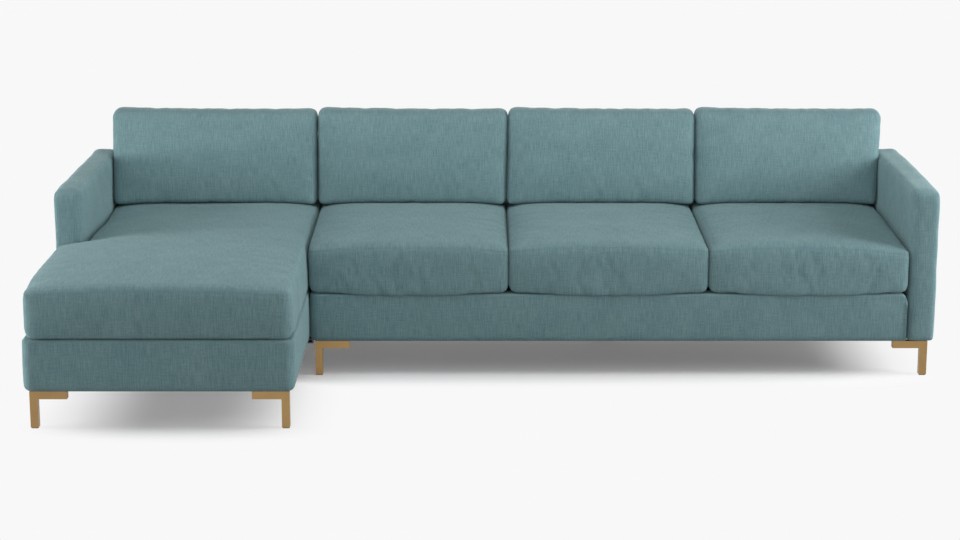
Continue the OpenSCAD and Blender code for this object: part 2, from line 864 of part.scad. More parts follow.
module connector_jaws() {
    mouth_h = 2 * (rod_r + fit);
    color(steel_c) at_connectors() translate([0, jaw_w / 2, 0]) rotate([90, 0, 0]) linear_extrude(jaw_w) {
        translate([plate_x, connector_z]) square([plate_l, plate_t]);
        translate([plate_x, rod_z - mouth_h / 2 - jaw_lip_t])
            square([plate_t, connector_z + plate_t - rod_z + mouth_h / 2 + jaw_lip_t]);
        for (z = [rod_z + mouth_h / 2, rod_z - mouth_h / 2 - jaw_lip_t])
            translate([-jaw_reach, z]) square([jaw_reach + plate_x + over, jaw_lip_t]);
    }
}

module connector_rods() {
    cheek_y = jaw_w / 2 + cheek_room;
    color(steel_c) at_connectors() {
        translate([-plate_x - plate_l, -cheek_y - plate_t, connector_z])
            cube([plate_l, 2 * (cheek_y + plate_t), plate_t]);
        for (s = [0, 1]) mirror([0, s, 0])
            translate([-rod_back - 2 * rod_r, cheek_y, rod_z - 2 * rod_r])
                cube([4 * rod_r, plate_t, connector_z - rod_z + 2 * rod_r + over]);
        translate([-rod_back, cheek_y + over, rod_z]) rotate([90, 0, 0])
            cylinder(r = rod_r, h = 2 * (cheek_y + over));
    }
}

// Chaise section

chaise_rail_y = -chaise_reach + rail_back;
chaise_right_in = chaise_w - rail_in - rail_t;
arm_rail_in = arm_w + fit + rail_t;
jog_y = -rail_t - 2 * fit;

module chaise_front_rail() {
    color(wood_c) on_chaise() difference() {
        translate([rail_in, -chaise_reach + rail_in, rail_z]) cube([chaise_w - 2 * rail_in, rail_t, rail_h]);
        leg_screw_holes(chaise_screws);
    }
}

module chaise_back_rail() {
    color(wood_c) on_chaise() translate([arm_w + fit, back_in_y - fit - rail_t, rail_z])
        cube([chaise_w - rail_in - arm_w - fit, rail_t, rail_h]);
}

// The left side jogs inwards where the arm begins
module chaise_side_rails() {
    y0 = chaise_rail_y + fit;
    color(wood_c) on_chaise() {
        translate([rail_in, y0, rail_z]) cube([rail_t, jog_y - fit - y0, rail_h]);
        swapped(arm_w) arm_rail(0, rails_y[1], rail_h);
        translate([chaise_right_in, y0, rail_z]) cube([rail_t, rails_y[1] - y0, rail_h]);
    }
}

module chaise_cross_rails() {
    color(wood_c) on_chaise() {
        translate([rail_in, jog_y, rail_z]) cube([chaise_right_in - fit - rail_in, rail_t, low_rail_h]);
        translate([rail_in + rail_t + fit, -chaise_reach / 2, rail_z])
            cube([chaise_right_in - 2 * fit - rail_in - rail_t, rail_t, low_rail_h]);
        translate([arm_rail_in + fit, back_in_y / 2, rail_z])
            cube([chaise_right_in - 2 * fit - arm_rail_in, rail_t, low_rail_h]);
    }
}

module chaise_corner_blocks() {
    back = rails_y[1] + fit;
    color(wood_c) on_chaise() {
        translate([rail_in + rail_t, chaise_rail_y, 0]) corner_block();
        translate([chaise_right_in, chaise_rail_y, 0]) mirror([1, 0, 0]) corner_block();
        translate([arm_rail_in, back, 0]) mirror([0, 1, 0]) corner_block();
        translate([chaise_right_in, back, 0]) mirror([1, 0, 0]) mirror([0, 1, 0]) corner_block();
    }
}

// Springs run from side to side: wide ones in front of the arm and narrower ones beside it
bay_end_gap = [24, 12];
front_bay = [chaise_rail_y + bay_end_gap[0], jog_y];
rear_bay = [0, rails_y[1] - bay_end_gap[1]];

module at_chaise_springs(bay, count, x) {
    pitch = (bay[1] - bay[0]) / count;
    for (i = [0 : count - 1])
        translate([x, bay[0] + (i + 0.5) * pitch, 0]) rotate([0, 0, -90]) children();
}

module chaise_springs() {
    front_x = rail_in + rail_t;
    color(steel_c) on_chaise() {
        at_chaise_springs(front_bay, front_springs, front_x) zigzag_spring(chaise_right_in - front_x);
        at_chaise_springs(rear_bay, rear_springs, arm_rail_in) zigzag_spring(chaise_right_in - arm_rail_in);
    }
}

module chaise_spring_clips() {
    front_x = rail_in + rail_t;
    color(steel_c) on_chaise() {
        at_chaise_springs(front_bay, front_springs, front_x) clip_pair(chaise_right_in - front_x);
        at_chaise_springs(rear_bay, rear_springs, arm_rail_in) clip_pair(chaise_right_in - arm_rail_in);
    }
}

module chaise_deck() {
    x0 = lip_w + fit;
    x1 = chaise_w - lip_w - fit;
    x_arm = arm_rail_in + clip_room;
    y0 = -chaise_reach + deck_edge;
    y1 = rails_y[1] - fit;
    color(cloth_c) on_chaise() translate([0, 0, deck_z]) linear_extrude(deck_t)
        polygon([[x0, y0], [x1, y0], [x1, y1], [x_arm, y1], [x_arm, -fit], [x0, -fit]]);
}

module chaise_dust_cover() {
    color(cloth_c) on_chaise() translate([dust_edge, -chaise_reach + dust_edge, leg_h - fit - dust_t])
        cube([chaise_w - dust_edge - connector_l - dust_gap, total_d - 2 * dust_edge, dust_t]);
}

module chaise_front_cover() {
    color(fabric_c) on_chaise() difference() {
        translate([0, -chaise_reach, leg_h]) rail_cover(chaise_w, true);
        leg_screw_holes(chaise_screws);
    }
}

module chaise_side_covers() {
    y0 = -chaise_reach + lip_w + fit;
    color(fabric_c) on_chaise() {
        side_cover(y0, -fit);
        swapped(chaise_w) side_cover(y0, back_in_y - fit);
    }
}

module chaise_back_frame() {
    color(wood_c) on_chaise() translate([arm_w, 0, 0])
        back_frame_solid(chaise_seat_w, moved(chaise_screws, arm_w));
}

module chaise_back_webbing() {
    color(belt_c) on_chaise() translate([arm_w, 0, 0]) back_belts(chaise_seat_w);
}

module chaise_back_cover() {
    color(fabric_c) on_chaise() translate([arm_w, 0, 0])
        back_cover_solid(chaise_seat_w, false, true, moved(chaise_screws, arm_w));
}

module left_arm_frame() {
    color(wood_c) on_chaise() swapped(arm_w) arm_frame_solid(mirrored(chaise_screws, arm_w));
}

module left_arm_cover() {
    color(fabric_c) on_chaise() swapped(arm_w) arm_cover_solid(mirrored(chaise_screws, arm_w));
}

module left_arm_bolts() {
    color(steel_c) on_chaise() swapped(arm_w) arm_bolts_solid();
}

module chaise_legs() {
    color(brass_c) on_chaise() at_corners(chaise_w, -chaise_reach, sofa_depth) corner_leg();
}

module chaise_leg_screws() {
    color(steel_c) on_chaise() at_corners(chaise_w, -chaise_reach, sofa_depth) corner_screws();
}

module chaise_leg_glides() {
    color(belt_c) on_chaise() at_corners(chaise_w, -chaise_reach, sofa_depth) corner_glide();
}

// Chaise cushions

chaise_cushion_w = chaise_w - cushion_gap;
chaise_cushion_d = chaise_reach + seat_cushion_d;
notch_x = arm_w + cushion_gap;
// Room in front of the arm, and radius of the notch's inner corner
notch_room = 3;
notch_r = 12;
notch_y = chaise_reach - notch_room;
// The extra crown reaches its full height at this share of the notch's distance from the front
lobe_full = 0.9;
// Its crest lies behind the notch, by the first value at the arm's side and by both at the other side
crest_gap = [20, 140];
// Length over which the crest falls to the dip
crest_fall = 160;
// Shares of the width between which the dip ends, and shares of the depth
dip_ends_x = [0.4, 0.8];
dip_ends_y = [0.72, 0.98];

// Nothing up to a, one from b on, and a smooth rise between them
function smooth_step(value, a, b) =
    let (share = max(0, min(1, (value - a) / (b - a)))) share * share * (3 - 2 * share);

// Top of the chaise cushion: the seats' edges and crown over each of its arms, an extra crown that
// rises from the front to the notch and falls behind it, and a dip beside the arm
function chaise_height(q) =
    let (
        w = chaise_cushion_w,
        x0 = q.y > notch_y ? notch_x : 0,
        even = seat_height([(q.x - x0) / (w - x0) * w, q.y], w, chaise_cushion_d),
        crest_y = notch_y + crest_gap[0] + crest_gap[1] * q.x / w,
        rise = sin(90 * max(0, min(1, q.y / (lobe_full * notch_y)))),
        fall = 1 - smooth_step(q.y, crest_y - crest_gap[0], crest_y + crest_fall),
        across = 1 - pow(abs(clamp1(2 * q.x / w - 1)), 4),
        beside = 1 - smooth_step(q.x, dip_ends_x[0] * w, dip_ends_x[1] * w),
        behind = smooth_step(q.y, crest_y, crest_y + crest_fall),
        before = 1 - smooth_step(q.y, dip_ends_y[0] * chaise_cushion_d, dip_ends_y[1] * chaise_cushion_d)
    )
    even + chaise_crown_extra * rise * fall * across - chaise_dip * beside * behind * before;

module chaise_cushion_body() {
    r = cushion_corner_r;
    w = chaise_cushion_w;
    d = chaise_cushion_d;
    outline = soft_outline([[0, 0], [w, 0], [w, d], [notch_x, d], [notch_x, notch_y], [0, notch_y]],
        [r, r, r, r, notch_r, r], seat_draw_in, outline_step, outline_arc_steps);
    ring_stack(outline, [(w + notch_x) / 2, notch_y * 0.6], chaise_rings, function(q) chaise_height(q));
}

// Foam block with the same notch for the arm
module chaise_core_block(grow) {
    inset = core_inset - grow;
    x1 = chaise_cushion_w - inset;
    y1 = chaise_cushion_d - inset;
    translate([0, 0, core_bottom_gap - grow])
        linear_extrude(cushion_side_h - core_bottom_gap - core_top_gap + 2 * grow)
            polygon([[inset, inset], [x1, inset], [x1, y1], [notch_x + inset, y1],
                     [notch_x + inset, notch_y - inset], [inset, notch_y - inset]]);
}

module on_chaise_seat() {
    on_chaise() translate([cushion_gap / 2, -chaise_reach, cushion_z]) children();
}

module chaise_seat_core() {
    color(foam_c) on_chaise_seat() chaise_core_block(0);
}

module chaise_seat_cover() {
    color(fabric_c) on_chaise_seat() difference() {
        chaise_cushion_body();
        chaise_core_block(fit);
    }
}

module chaise_back_core() {
    color(foam_c) on_chaise() against_back(arm_w + cushion_gap / 2)
        back_core_block(chaise_seat_w - cushion_gap, 0);
}

module chaise_back_cushion_cover() {
    color(fabric_c) on_chaise()
        back_cushion_cover(arm_w + cushion_gap / 2, chaise_seat_w - cushion_gap);
}

front_rail();
back_rail();
end_rails();
cross_rails();
corner_blocks();
seat_springs();
spring_clips();
deck();
dust_cover();
front_cover();
end_cover();
back_frame();
back_webbing();
back_cover();
right_arm_frame();
right_arm_cover();
right_arm_bolts();
legs();
leg_screws();
leg_glides();
support_leg();
connector_jaws();
seat_cushion_core(0);  // left_seat_core
seat_cushion_cover(0);  // left_seat_cover
seat_cushion_core(1);  // middle_seat_core
seat_cushion_cover(1);  // middle_seat_cover
seat_cushion_core(2);  // right_seat_core
seat_cushion_cover(2);  // right_seat_cover
sofa_back_core(0);  // left_back_core
sofa_back_cover(0);  // left_back_cushion_cover
sofa_back_core(1);  // middle_back_core
sofa_back_cover(1);  // middle_back_cushion_cover
sofa_back_core(2);  // right_back_core
sofa_back_cover(2);  // right_back_cushion_cover
chaise_front_rail();
chaise_back_rail();
chaise_side_rails();
chaise_cross_rails();
chaise_corner_blocks();
chaise_springs();
chaise_spring_clips();
chaise_deck();
chaise_dust_cover();
chaise_front_cover();
chaise_side_covers();
chaise_back_frame();
chaise_back_webbing();
chaise_back_cover();
left_arm_frame();
left_arm_cover();
left_arm_bolts();
chaise_legs();
chaise_leg_screws();
chaise_leg_glides();
connector_rods();
chaise_seat_core();
chaise_seat_cover();
chaise_back_core();
chaise_back_cushion_cover();
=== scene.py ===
import math

import bpy
import numpy as np
from bpy.props import FloatProperty, IntProperty, PointerProperty, StringProperty
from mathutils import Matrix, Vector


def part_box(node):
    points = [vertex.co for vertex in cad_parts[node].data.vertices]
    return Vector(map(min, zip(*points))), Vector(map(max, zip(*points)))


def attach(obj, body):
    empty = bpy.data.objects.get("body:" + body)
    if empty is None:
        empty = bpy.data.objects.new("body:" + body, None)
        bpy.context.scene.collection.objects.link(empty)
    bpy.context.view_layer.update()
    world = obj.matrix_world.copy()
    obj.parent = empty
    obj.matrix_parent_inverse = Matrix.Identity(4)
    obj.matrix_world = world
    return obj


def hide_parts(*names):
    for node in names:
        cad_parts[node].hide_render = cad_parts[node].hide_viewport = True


bl_info = {
    "name": "Sectional sofa",
    "version": (1, 0, 0),
    "blender": (4, 5, 0),
    "location": "View3D > Sidebar > Sofa",
    "description": "Upholsters the packed frame of a sectional sofa and sets up its studio",
    "category": "Object",
}

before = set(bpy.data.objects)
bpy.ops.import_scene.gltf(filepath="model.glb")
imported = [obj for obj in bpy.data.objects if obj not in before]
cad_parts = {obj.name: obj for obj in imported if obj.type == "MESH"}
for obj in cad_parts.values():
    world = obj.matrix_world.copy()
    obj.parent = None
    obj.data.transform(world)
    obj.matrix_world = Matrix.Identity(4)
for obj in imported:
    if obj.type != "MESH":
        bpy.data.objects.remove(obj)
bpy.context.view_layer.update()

SOFA = "sofa_section"
CHAISE = "chaise_section"
SEATS = ("left", "middle", "right")
BACKS = ("chaise",) + SEATS
# How far the joint between the chaise cushion and the left seat leans along x at its top
SEAT_LEAN = -0.006
# How much too wide a cushion's side is made where it is pressed flat by the next one
TOUCH = 0.002
# Cloth of the upholstery: limp enough to fold along its seams, and hard to stretch
CLOTH = {
    "quality": 4,
    "mass": 0.3,
    "tension_stiffness": 15,
    "compression_stiffness": 12,
    "shear_stiffness": 5,
    "bending_stiffness": 0.4,
}
# Lengths of the small folds along a seam, and the share of each
FOLD_WAVES = ((0.037, 1.0), (0.023, 0.8), (0.061, 0.6))
# Each light's place and size, and the point that it faces
LIGHTS = {
    "canopy": ((0.0, -0.3, 2.7), (3.6, 1.6), (0.0, 0.0, 0.0)),
    "front": ((0.0, -0.9, 2.4), (3.8, 1.0), (0.0, 0.5, 0.5)),
    "near_left": ((-3.1, -0.35, 1.25), (1.0, 1.0), (0.0, 0.3, 0.6)),
    "near_right": ((2.9, -0.35, 1.25), (1.0, 1.0), (0.0, 0.3, 0.6)),
    "far_left": ((-7.0, -1.2, 1.5), (4.0, 2.4), (0.0, 0.0, 0.3)),
    "far_right": ((7.0, -1.2, 1.5), (4.0, 2.4), (0.0, 0.0, 0.3)),
    "skim_left": ((-4.2, -1.0, 0.55), (1.6, 0.7), (0.0, -0.6, 0.1)),
    "high": ((0.0, -5.0, 4.5), (5.0, 2.5), (0.0, 0.0, 0.3)),
    "low": ((0.0, -8.0, 1.2), (6.0, 1.6), (0.0, 0.0, 0.3)),
    "behind": ((0.0, 5.5, 1.8), (6.0, 2.4), (0.0, 0.7, 0.4)),
}
# The camera's place along x, its turn up from straight down, its lens in millimetres and its shift
CAMERA_X = -0.066
CAMERA_TURN = math.radians(76.59)
CAMERA_LENS = 83.17
CAMERA_SHIFT = (0.00335, 0.02404)
# Tone of the background, and how far from the sofa the floor's shadow fades to it
BACKGROUND = "#f8f8f8"
SHADOW_FADE = 0.15


# Sizes and colours that a user would change


def metres(name, description, default):
    """Property that is a length in metres."""
    return FloatProperty(name=name, description=description, default=default, unit="LENGTH")


def amount(name, description, default):
    """Property that is a share, a pressure, a power or a strength."""
    return FloatProperty(name=name, description=description, default=default)


def tint(name, description, default):
    """Property that is an sRGB hex value."""
    return StringProperty(name=name, description=description, default=default)


class CushionSizes(bpy.types.PropertyGroup):
    """Shape of the loose cushions"""

    side_height: metres("Side height", "Height of a seat cushion at its side edges", 0.170)
    crown: metres("Crown", "Rise of a seat cushion from its side edges to its crown", 0.022)
    front_fall: metres(
        "Front fall", "How much lower a seat cushion's top is at its front than at its back", 0.013
    )
    press: metres("Press", "Depth to which a back cushion presses a seat cushion down", 0.008)
    droop: metres("Droop", "Length of a seat cushion's front lip below the top of the base", 0.017)
    bulge: metres("Bulge", "Most that a seat cushion's front stands out", 0.009)
    lobe: metres("Chaise lobe", "Extra crown of the chaise cushion in front of the arm", 0.009)
    valley: metres("Chaise valley", "Depth of the dip behind that crown, beside the arm", 0.020)
    back_foot: metres("Back cushion foot", "Thickness of a back cushion at its bottom edge", 0.145)
    back_top: metres("Back cushion top", "Thickness of a back cushion at its top edge", 0.086)
    back_crown: metres(
        "Back cushion crown", "Rise of a back cushion's front from its edges to its crown", 0.018
    )
    cell: metres("Cell", "Size of the cloth's cells before they are divided once", 0.009)


class FillSizes(bpy.types.PropertyGroup):
    """How the cushions are filled and sewn"""

    pressure: amount("Pressure", "Pressure of the filling against the cloth", 4.0)
    frames: IntProperty(name="Frames", description="Steps of the cloth's simulation", default=20)
    slack: amount("Slack", "Share by which the cloth is cut larger than the foam", 0.012)
    gather: amount("Gather", "Share by which the cloth is drawn up along a seam", 0.014)
    swell: metres("Swell", "Most that a point of the cloth may move when it is filled", 0.024)
    folds: amount("Folds", "Share of the cloth's folds that stays", 0.25)
    give: amount("Give", "Share of the cloth's broad change of shape that stays", 0.04)
    seam_depth: metres("Seam depth", "Depth of a sewn seam", 0.0010)
    seam_width: metres("Seam width", "Half width of a seam's groove", 0.0045)
    pucker: metres("Pucker", "Height of the small folds along a seam", 0.0004)


class FinishColours(bpy.types.PropertyGroup):
    """Colours of the sofa's finishes, as sRGB hex values"""

    yarn_light: tint("Light yarn", "Lighter yarn of the upholstery cloth", "#839fa1")
    yarn_dark: tint("Dark yarn", "Darker yarn of the upholstery cloth", "#52747b")
    brass: tint("Brass", "Metal of the legs", "#a0855b")
    beech: tint("Beech", "Timber of the frames", "#c9a477")
    foam: tint("Foam", "Cushion foam", "#e9dfb4")
    deck: tint("Deck", "Cloth over the springs", "#41545a")
    dust: tint("Dust cloth", "Cloth under the frame", "#202224")


class StudioSizes(bpy.types.PropertyGroup):
    """Lights and camera of the studio"""

    canopy: amount("Canopy", "Power of the light above", 15.5)
    front: amount("Front", "Power of the light above the front", 15.5)
    near_left: amount("Near left", "Power of the near light on the left", 12.0)
    near_right: amount("Near right", "Power of the near light on the right", 28.0)
    far_left: amount("Far left", "Power of the far light on the left", 61.0)
    far_right: amount("Far right", "Power of the far light on the right", 208.0)
    skim_left: amount("Skim left", "Power of the light near the floor on the left", 56.0)
    high: amount("High", "Power of the high light behind the camera", 24.0)
    low: amount("Low", "Power of the low light behind the camera", 120.0)
    behind: amount("Behind", "Power of the light behind the sofa", 150.0)
    room: amount("Room", "Strength of the light all round", 0.08)
    camera_height: metres("Camera height", "Camera above the floor", 2.014)
    camera_distance: metres("Camera distance", "Camera in front of the sofa's middle", 7.335)


# Surfaces as arrays


def spaced(cell, *stops):
    """Values from the first stop to the last through those between, evenly about a cell apart."""
    runs = [
        np.linspace(start, stop, max(1, round((stop - start) / cell)) + 1)[:-1]
        for start, stop in zip(stops, stops[1:])
        if stop > start
    ]
    return np.concatenate(runs + [stops[-1:]])


def lattice_skin(filled):
    """Quads between the filled and the empty cells of a lattice, facing the empty ones.

    Returns the lattice points used, as whole numbers, and the quads as indices of them."""
    padded = np.pad(filled, 1).astype(np.int8)
    quads = []
    for axis in range(3):
        a, b = (axis + 1) % 3, (axis + 2) % 3
        step = np.diff(padded, axis=axis)
        for facing in (1, -1):
            cells = np.argwhere(step == -facing)
            cells[:, [a, b]] -= 1
            corners = []
            for da, db in ((0, 0), (1, 0), (1, 1), (0, 1)):
                corner = cells.copy()
                corner[:, a] += da
                corner[:, b] += db
                corners.append(corner)
            quads.append(np.stack(corners[::facing], axis=1))
    quads = np.concatenate(quads)
    points, index = np.unique(quads.reshape(-1, 3), axis=0, return_inverse=True)
    return points, index.reshape(-1, 4)


def block_skin(xs, ys, zs, notch=None):
    """Closed skin of a block whose lattice planes stand at the given values. A notch cuts off the left
    rear corner: it is the place along x and y of the walls that are left there.

    Returns the points and the quads."""
    filled = np.ones((len(xs) - 1, len(ys) - 1, len(zs) - 1), bool)
    if notch:
        filled[: np.searchsorted(xs, notch[0]), np.searchsorted(ys, notch[1]) :, :] = False
    points, quads = lattice_skin(filled)
    return np.stack([xs[points[:, 0]], ys[points[:, 1]], zs[points[:, 2]]], axis=1), quads


def quad_normals(co, quads):
    """Cross products of the diagonals of the quads, as long as twice their areas."""
    return np.cross(co[quads[:, 2]] - co[quads[:, 0]], co[quads[:, 3]] - co[quads[:, 1]])


def point_normals(co, quads):
    """Unit normals: the sum of the normals of the quads round a point."""
    face = quad_normals(co, quads)
    total = np.zeros_like(co)
    for axis in range(3):
        total[:, axis] = np.bincount(
            quads.ravel(), weights=np.repeat(face[:, axis], 4), minlength=len(co)
        )
    return total / np.maximum(np.linalg.norm(total, axis=1, keepdims=True), 1e-12)


def soften(co, quads, rounds):
    """Rounds every edge: in each round a point moves half way to the mean of its neighbours."""
    start = quads.ravel()
    end = np.roll(quads, -1, axis=1).ravel()
    count = np.bincount(start, minlength=len(co))[:, None]
    for _ in range(rounds):
        total = np.stack(
            [np.bincount(start, weights=co[end, axis], minlength=len(co)) for axis in range(3)], axis=1
        )
        co = (co + total / count) / 2
    return co


def rounded(co, turns):
    """Turns square corners of outlines into quarter circles. A turn holds the outline's two axes, the
    corner, the signs of the way in from it, and the radius. In the corner's square each point is drawn
    towards the circle's centre by the ratio of its larger part to its whole distance."""
    for (a, b), corner, inward, radius in turns:
        centre = np.array(corner) + np.array(inward) * radius
        s = (centre[0] - co[:, a]) * inward[0] / radius
        t = (centre[1] - co[:, b]) * inward[1] / radius
        inside = (s > 0) & (t > 0)
        ratio = np.where(inside, np.maximum(s, t) / np.maximum(np.hypot(s, t), 1e-9), 1)
        out = co.copy()
        out[:, a] = np.where(inside, centre[0] - inward[0] * radius * s * ratio, co[:, a])
        out[:, b] = np.where(inside, centre[1] - inward[1] * radius * t * ratio, co[:, b])
        co = out
    return co


def ripples(co, length, seed):
    """Soft unevenness, about one high: the sum of seven sine waves of random direction and phase,
    whose lengths lie round the given one."""
    rng = np.random.default_rng(seed)
    ways = rng.normal(size=(7, 3))
    ways /= np.linalg.norm(ways, axis=1, keepdims=True)
    ways *= 2 * np.pi / (length * rng.uniform(0.7, 1.5, (7, 1)))
    return np.sin(co @ ways.T + rng.uniform(0, 2 * np.pi, 7)).sum(axis=1) / math.sqrt(7)


def swell(values, low, high, power=4):
    """One in the middle between low and high and nothing at both, flat in between."""
    return 1 - np.abs(np.clip(2 * (values - low) / (high - low) - 1, -1, 1)) ** power


def skin_mesh(name, co, quads, **attributes):
    """Mesh of the points and quads, smooth, with a float attribute for each further array."""
    mesh = bpy.data.meshes.new(name)
    mesh.vertices.add(len(co))
    mesh.vertices.foreach_set("co", co.astype(np.float32).ravel())
    mesh.loops.add(quads.size)
    mesh.loops.foreach_set("vertex_index", quads.astype(np.int32).ravel())
    mesh.polygons.add(len(quads))
    mesh.polygons.foreach_set("loop_start", np.arange(0, quads.size, 4, dtype=np.int32))
    mesh.polygons.foreach_set("use_smooth", np.ones(len(quads), bool))
    mesh.update(calc_edges=True)
    for key, values in attributes.items():
        mesh.attributes.new(key, "FLOAT", "POINT").data.foreach_set("value", values.astype(np.float32))
    return mesh


def read_points(mesh):
    """The mesh's points as an array, a row each."""
    co = np.empty(len(mesh.vertices) * 3, np.float32)
    mesh.vertices.foreach_get("co", co)
    return co.reshape(-1, 3).astype(float)


def read_quads(mesh):
    """The mesh's quads as an array of four points' numbers each."""
    quads = np.empty(len(mesh.loops), np.int32)
    mesh.loops.foreach_get("vertex_index", quads)
    return quads.reshape(-1, 4)


def read_attribute(mesh, key):
    """The mesh's attribute of that name, a value for each point."""
    values = np.empty(len(mesh.vertices), np.float32)
    mesh.attributes[key].data.foreach_get("value", values)
    return values


def divided(mesh):
    """The mesh with every quad divided in four on a smooth surface."""
    holder = bpy.data.objects.new("divided", mesh)
    bpy.context.scene.collection.objects.link(holder)
    modifier = holder.modifiers.new("smooth", "SUBSURF")
    modifier.levels = modifier.render_levels = 1
    graph = bpy.context.evaluated_depsgraph_get()
    fine = bpy.data.meshes.new_from_object(holder.evaluated_get(graph))
    bpy.data.objects.remove(holder)
    return fine


def lay_cloth(mesh, shift=0.0):
    """UV map in metres on the cloth: across the sofa, and along the yarn over top, front and back.
    On faces that look sideways it is the way along the side, and up. shift moves it along the yarn."""
    co = read_points(mesh)
    quads = read_quads(mesh)
    face = quad_normals(co, quads)
    # A face looks sideways when at least this share of its normal's length lies along x
    share = 0.72
    sideways = np.abs(face[:, :1]) > share * np.linalg.norm(face, axis=1, keepdims=True)
    x, y, z = np.moveaxis(co[quads], 2, 0)
    across = np.where(sideways, y, x)
    along = np.where(sideways, z, y + z) + shift
    uv = np.stack([across, along], axis=-1).astype(np.float32)
    mesh.uv_layers.new(name="cloth").data.foreach_set("uv", uv.ravel())


def add_piece(name, mesh, body, look, nodes):
    """Object of a mesh that rides on a body, looks like one of the finishes and stands for CAD
    nodes."""
    piece = bpy.data.objects.new(name, mesh)
    bpy.context.scene.collection.objects.link(piece)
    mesh.materials.clear()
    mesh.materials.append(finish(look))
    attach(piece, body)
    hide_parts(*nodes)
    return piece


def upholster(name, mesh, body, nodes, shift):
    """Piece of the upholstery cloth, which is laid with its own shift along the yarn."""
    lay_cloth(mesh, shift)
    return add_piece(name, mesh, body, "melange_weave", nodes)


# Cushions: a form a little smaller than the finished cushion, filled under pressure, then sewn


def smooth_step(values, low, high):
    """Nothing up to low, one from high on, and a smooth rise between them."""
    share = np.clip((values - low) / (high - low), 0, 1)
    return share * share * (3 - 2 * share)


def plan_edge(x, y, width, depth, notch):
    """Distance in plan to a cushion's outline, which may have a notch at its left rear corner."""
    notch_x, notch_y = notch
    beside = np.minimum(np.minimum(x - notch_x, width - x), depth - y)
    before = np.minimum(np.minimum(x, width - x), y)
    before = np.where(x < notch_x, np.minimum(before, notch_y - y), before)
    return np.where(y > notch_y, beside, before)


def seat_height(x, y, width, depth, sizes, fall=0.0):
    """Top of a seat cushion: the sides' height, and on it a crown that falls to both sides with a power
    of the distance from the middle, which grows to the rear, and a little to the front. The whole top
    falls towards the front. The rear is pressed down where the back cushion stands on it, and the right
    side falls more towards the front."""
    u = np.abs(np.clip(2 * x / width - 1, -1, 1))
    v = np.clip(2 * y / depth - 1, -1, 1)
    across = 1 - u ** (2.4 + 2.3 * (v + 1))
    along = np.where(v < 0, 1 - 0.2 * np.abs(v) ** 3, 1)
    pressed = sizes.press * across * smooth_step(y, depth - 0.34, depth - 0.14)
    forward = np.clip(1 - y / depth, 0, 1)
    worn = fall * smooth_step(x, 0.5 * width, width) * forward + sizes.front_fall * forward**1.5
    return sizes.side_height + sizes.crown * across * along - pressed - worn


def chaise_height(x, y, width, depth, notch, sizes):
    """Top of the chaise cushion: the seats' crown over each of its arms, an extra crown that rises
    with a sine from the front to the notch and drops just behind it, and a dip beside the arm."""
    notch_x, notch_y = notch
    left = np.where(y > notch_y, notch_x, 0.0)
    base = seat_height(np.clip((x - left) / (width - left), 0, 1) * width, y, width, depth, sizes)
    u = np.abs(np.clip(2 * x / width - 1, -1, 1))
    rise = np.sin(np.pi / 2 * np.clip(y / (0.9 * notch_y), 0, 1))
    crest_y = notch_y - 0.060 + 0.100 * x / width
    fall = 1 - smooth_step(y, crest_y - 0.02, crest_y + 0.16)
    extra = sizes.lobe * rise * fall * (1 - u**4)
    beside = 1 - smooth_step(x, 0.40 * width, 0.80 * width)
    dip = smooth_step(y, notch_y + 0.15, notch_y + 0.60)
    dip = dip * (1 - smooth_step(y, 0.72 * depth, 0.98 * depth))
    front = 0.25 * sizes.front_fall * (1 - smooth_step(y, 0.0, 0.35))
    return base + extra - sizes.valley * beside * dip - front


def seat_block(width, depth, tall, notch, cell):
    """Block with rounded edges that a seat cushion starts from. Returns points, quads, distance from the
    seam and way along it."""
    notched = notch[0] > 0
    co, quads = block_skin(
        spaced(cell, 0, notch[0], width),
        spaced(cell, 0, notch[1], depth),
        spaced(cell, 0, tall),
        (notch[0] - 1e-6, notch[1] - 1e-6),
    )
    x, y, z = co.T.copy()
    # The seam runs a little under the top edge, where the boxing starts
    seam = np.abs(plan_edge(x, y, width, depth, notch) + (tall - z) - 0.020)
    left_front, right_front = (0.026, 0.030) if notched else (0.014, 0.014)
    turns = (
        # The front's top and bottom edge
        ((1, 2), (0.0, tall), (1, -1), 0.016),
        ((1, 2), (0.0, 0.0), (1, 1), 0.008),
        # The right side's top, front and rear edge
        ((0, 2), (width, tall), (-1, -1), 0.018),
        ((0, 1), (width, 0.0), (-1, 1), right_front),
        ((0, 1), (width, depth), (-1, -1), 0.024),
    )
    # The left side's top and front edge, which are round only before a notch
    left_turns = (
        ((0, 2), (0.0, tall), (1, -1), 0.018),
        ((0, 1), (0.0, 0.0), (1, 1), left_front),
    )
    # The sides' lower edges, which are round only near the front
    low_turns = (
        ((0, 2), (width, 0.0), (-1, 1), 0.030),
        ((0, 2), (0.0, 0.0), (1, 1), 0.030),
    )
    co = rounded(co, turns)
    whole = y < notch[1] + 0.004 if notched else np.full(len(co), True)
    co = np.where(whole[:, None], rounded(co, left_turns), co)
    co += (rounded(co, low_turns) - co) * (1 - smooth_step(y, 0.03, 0.10))[:, None]
    return soften(co, quads, 4), quads, seam, x + y


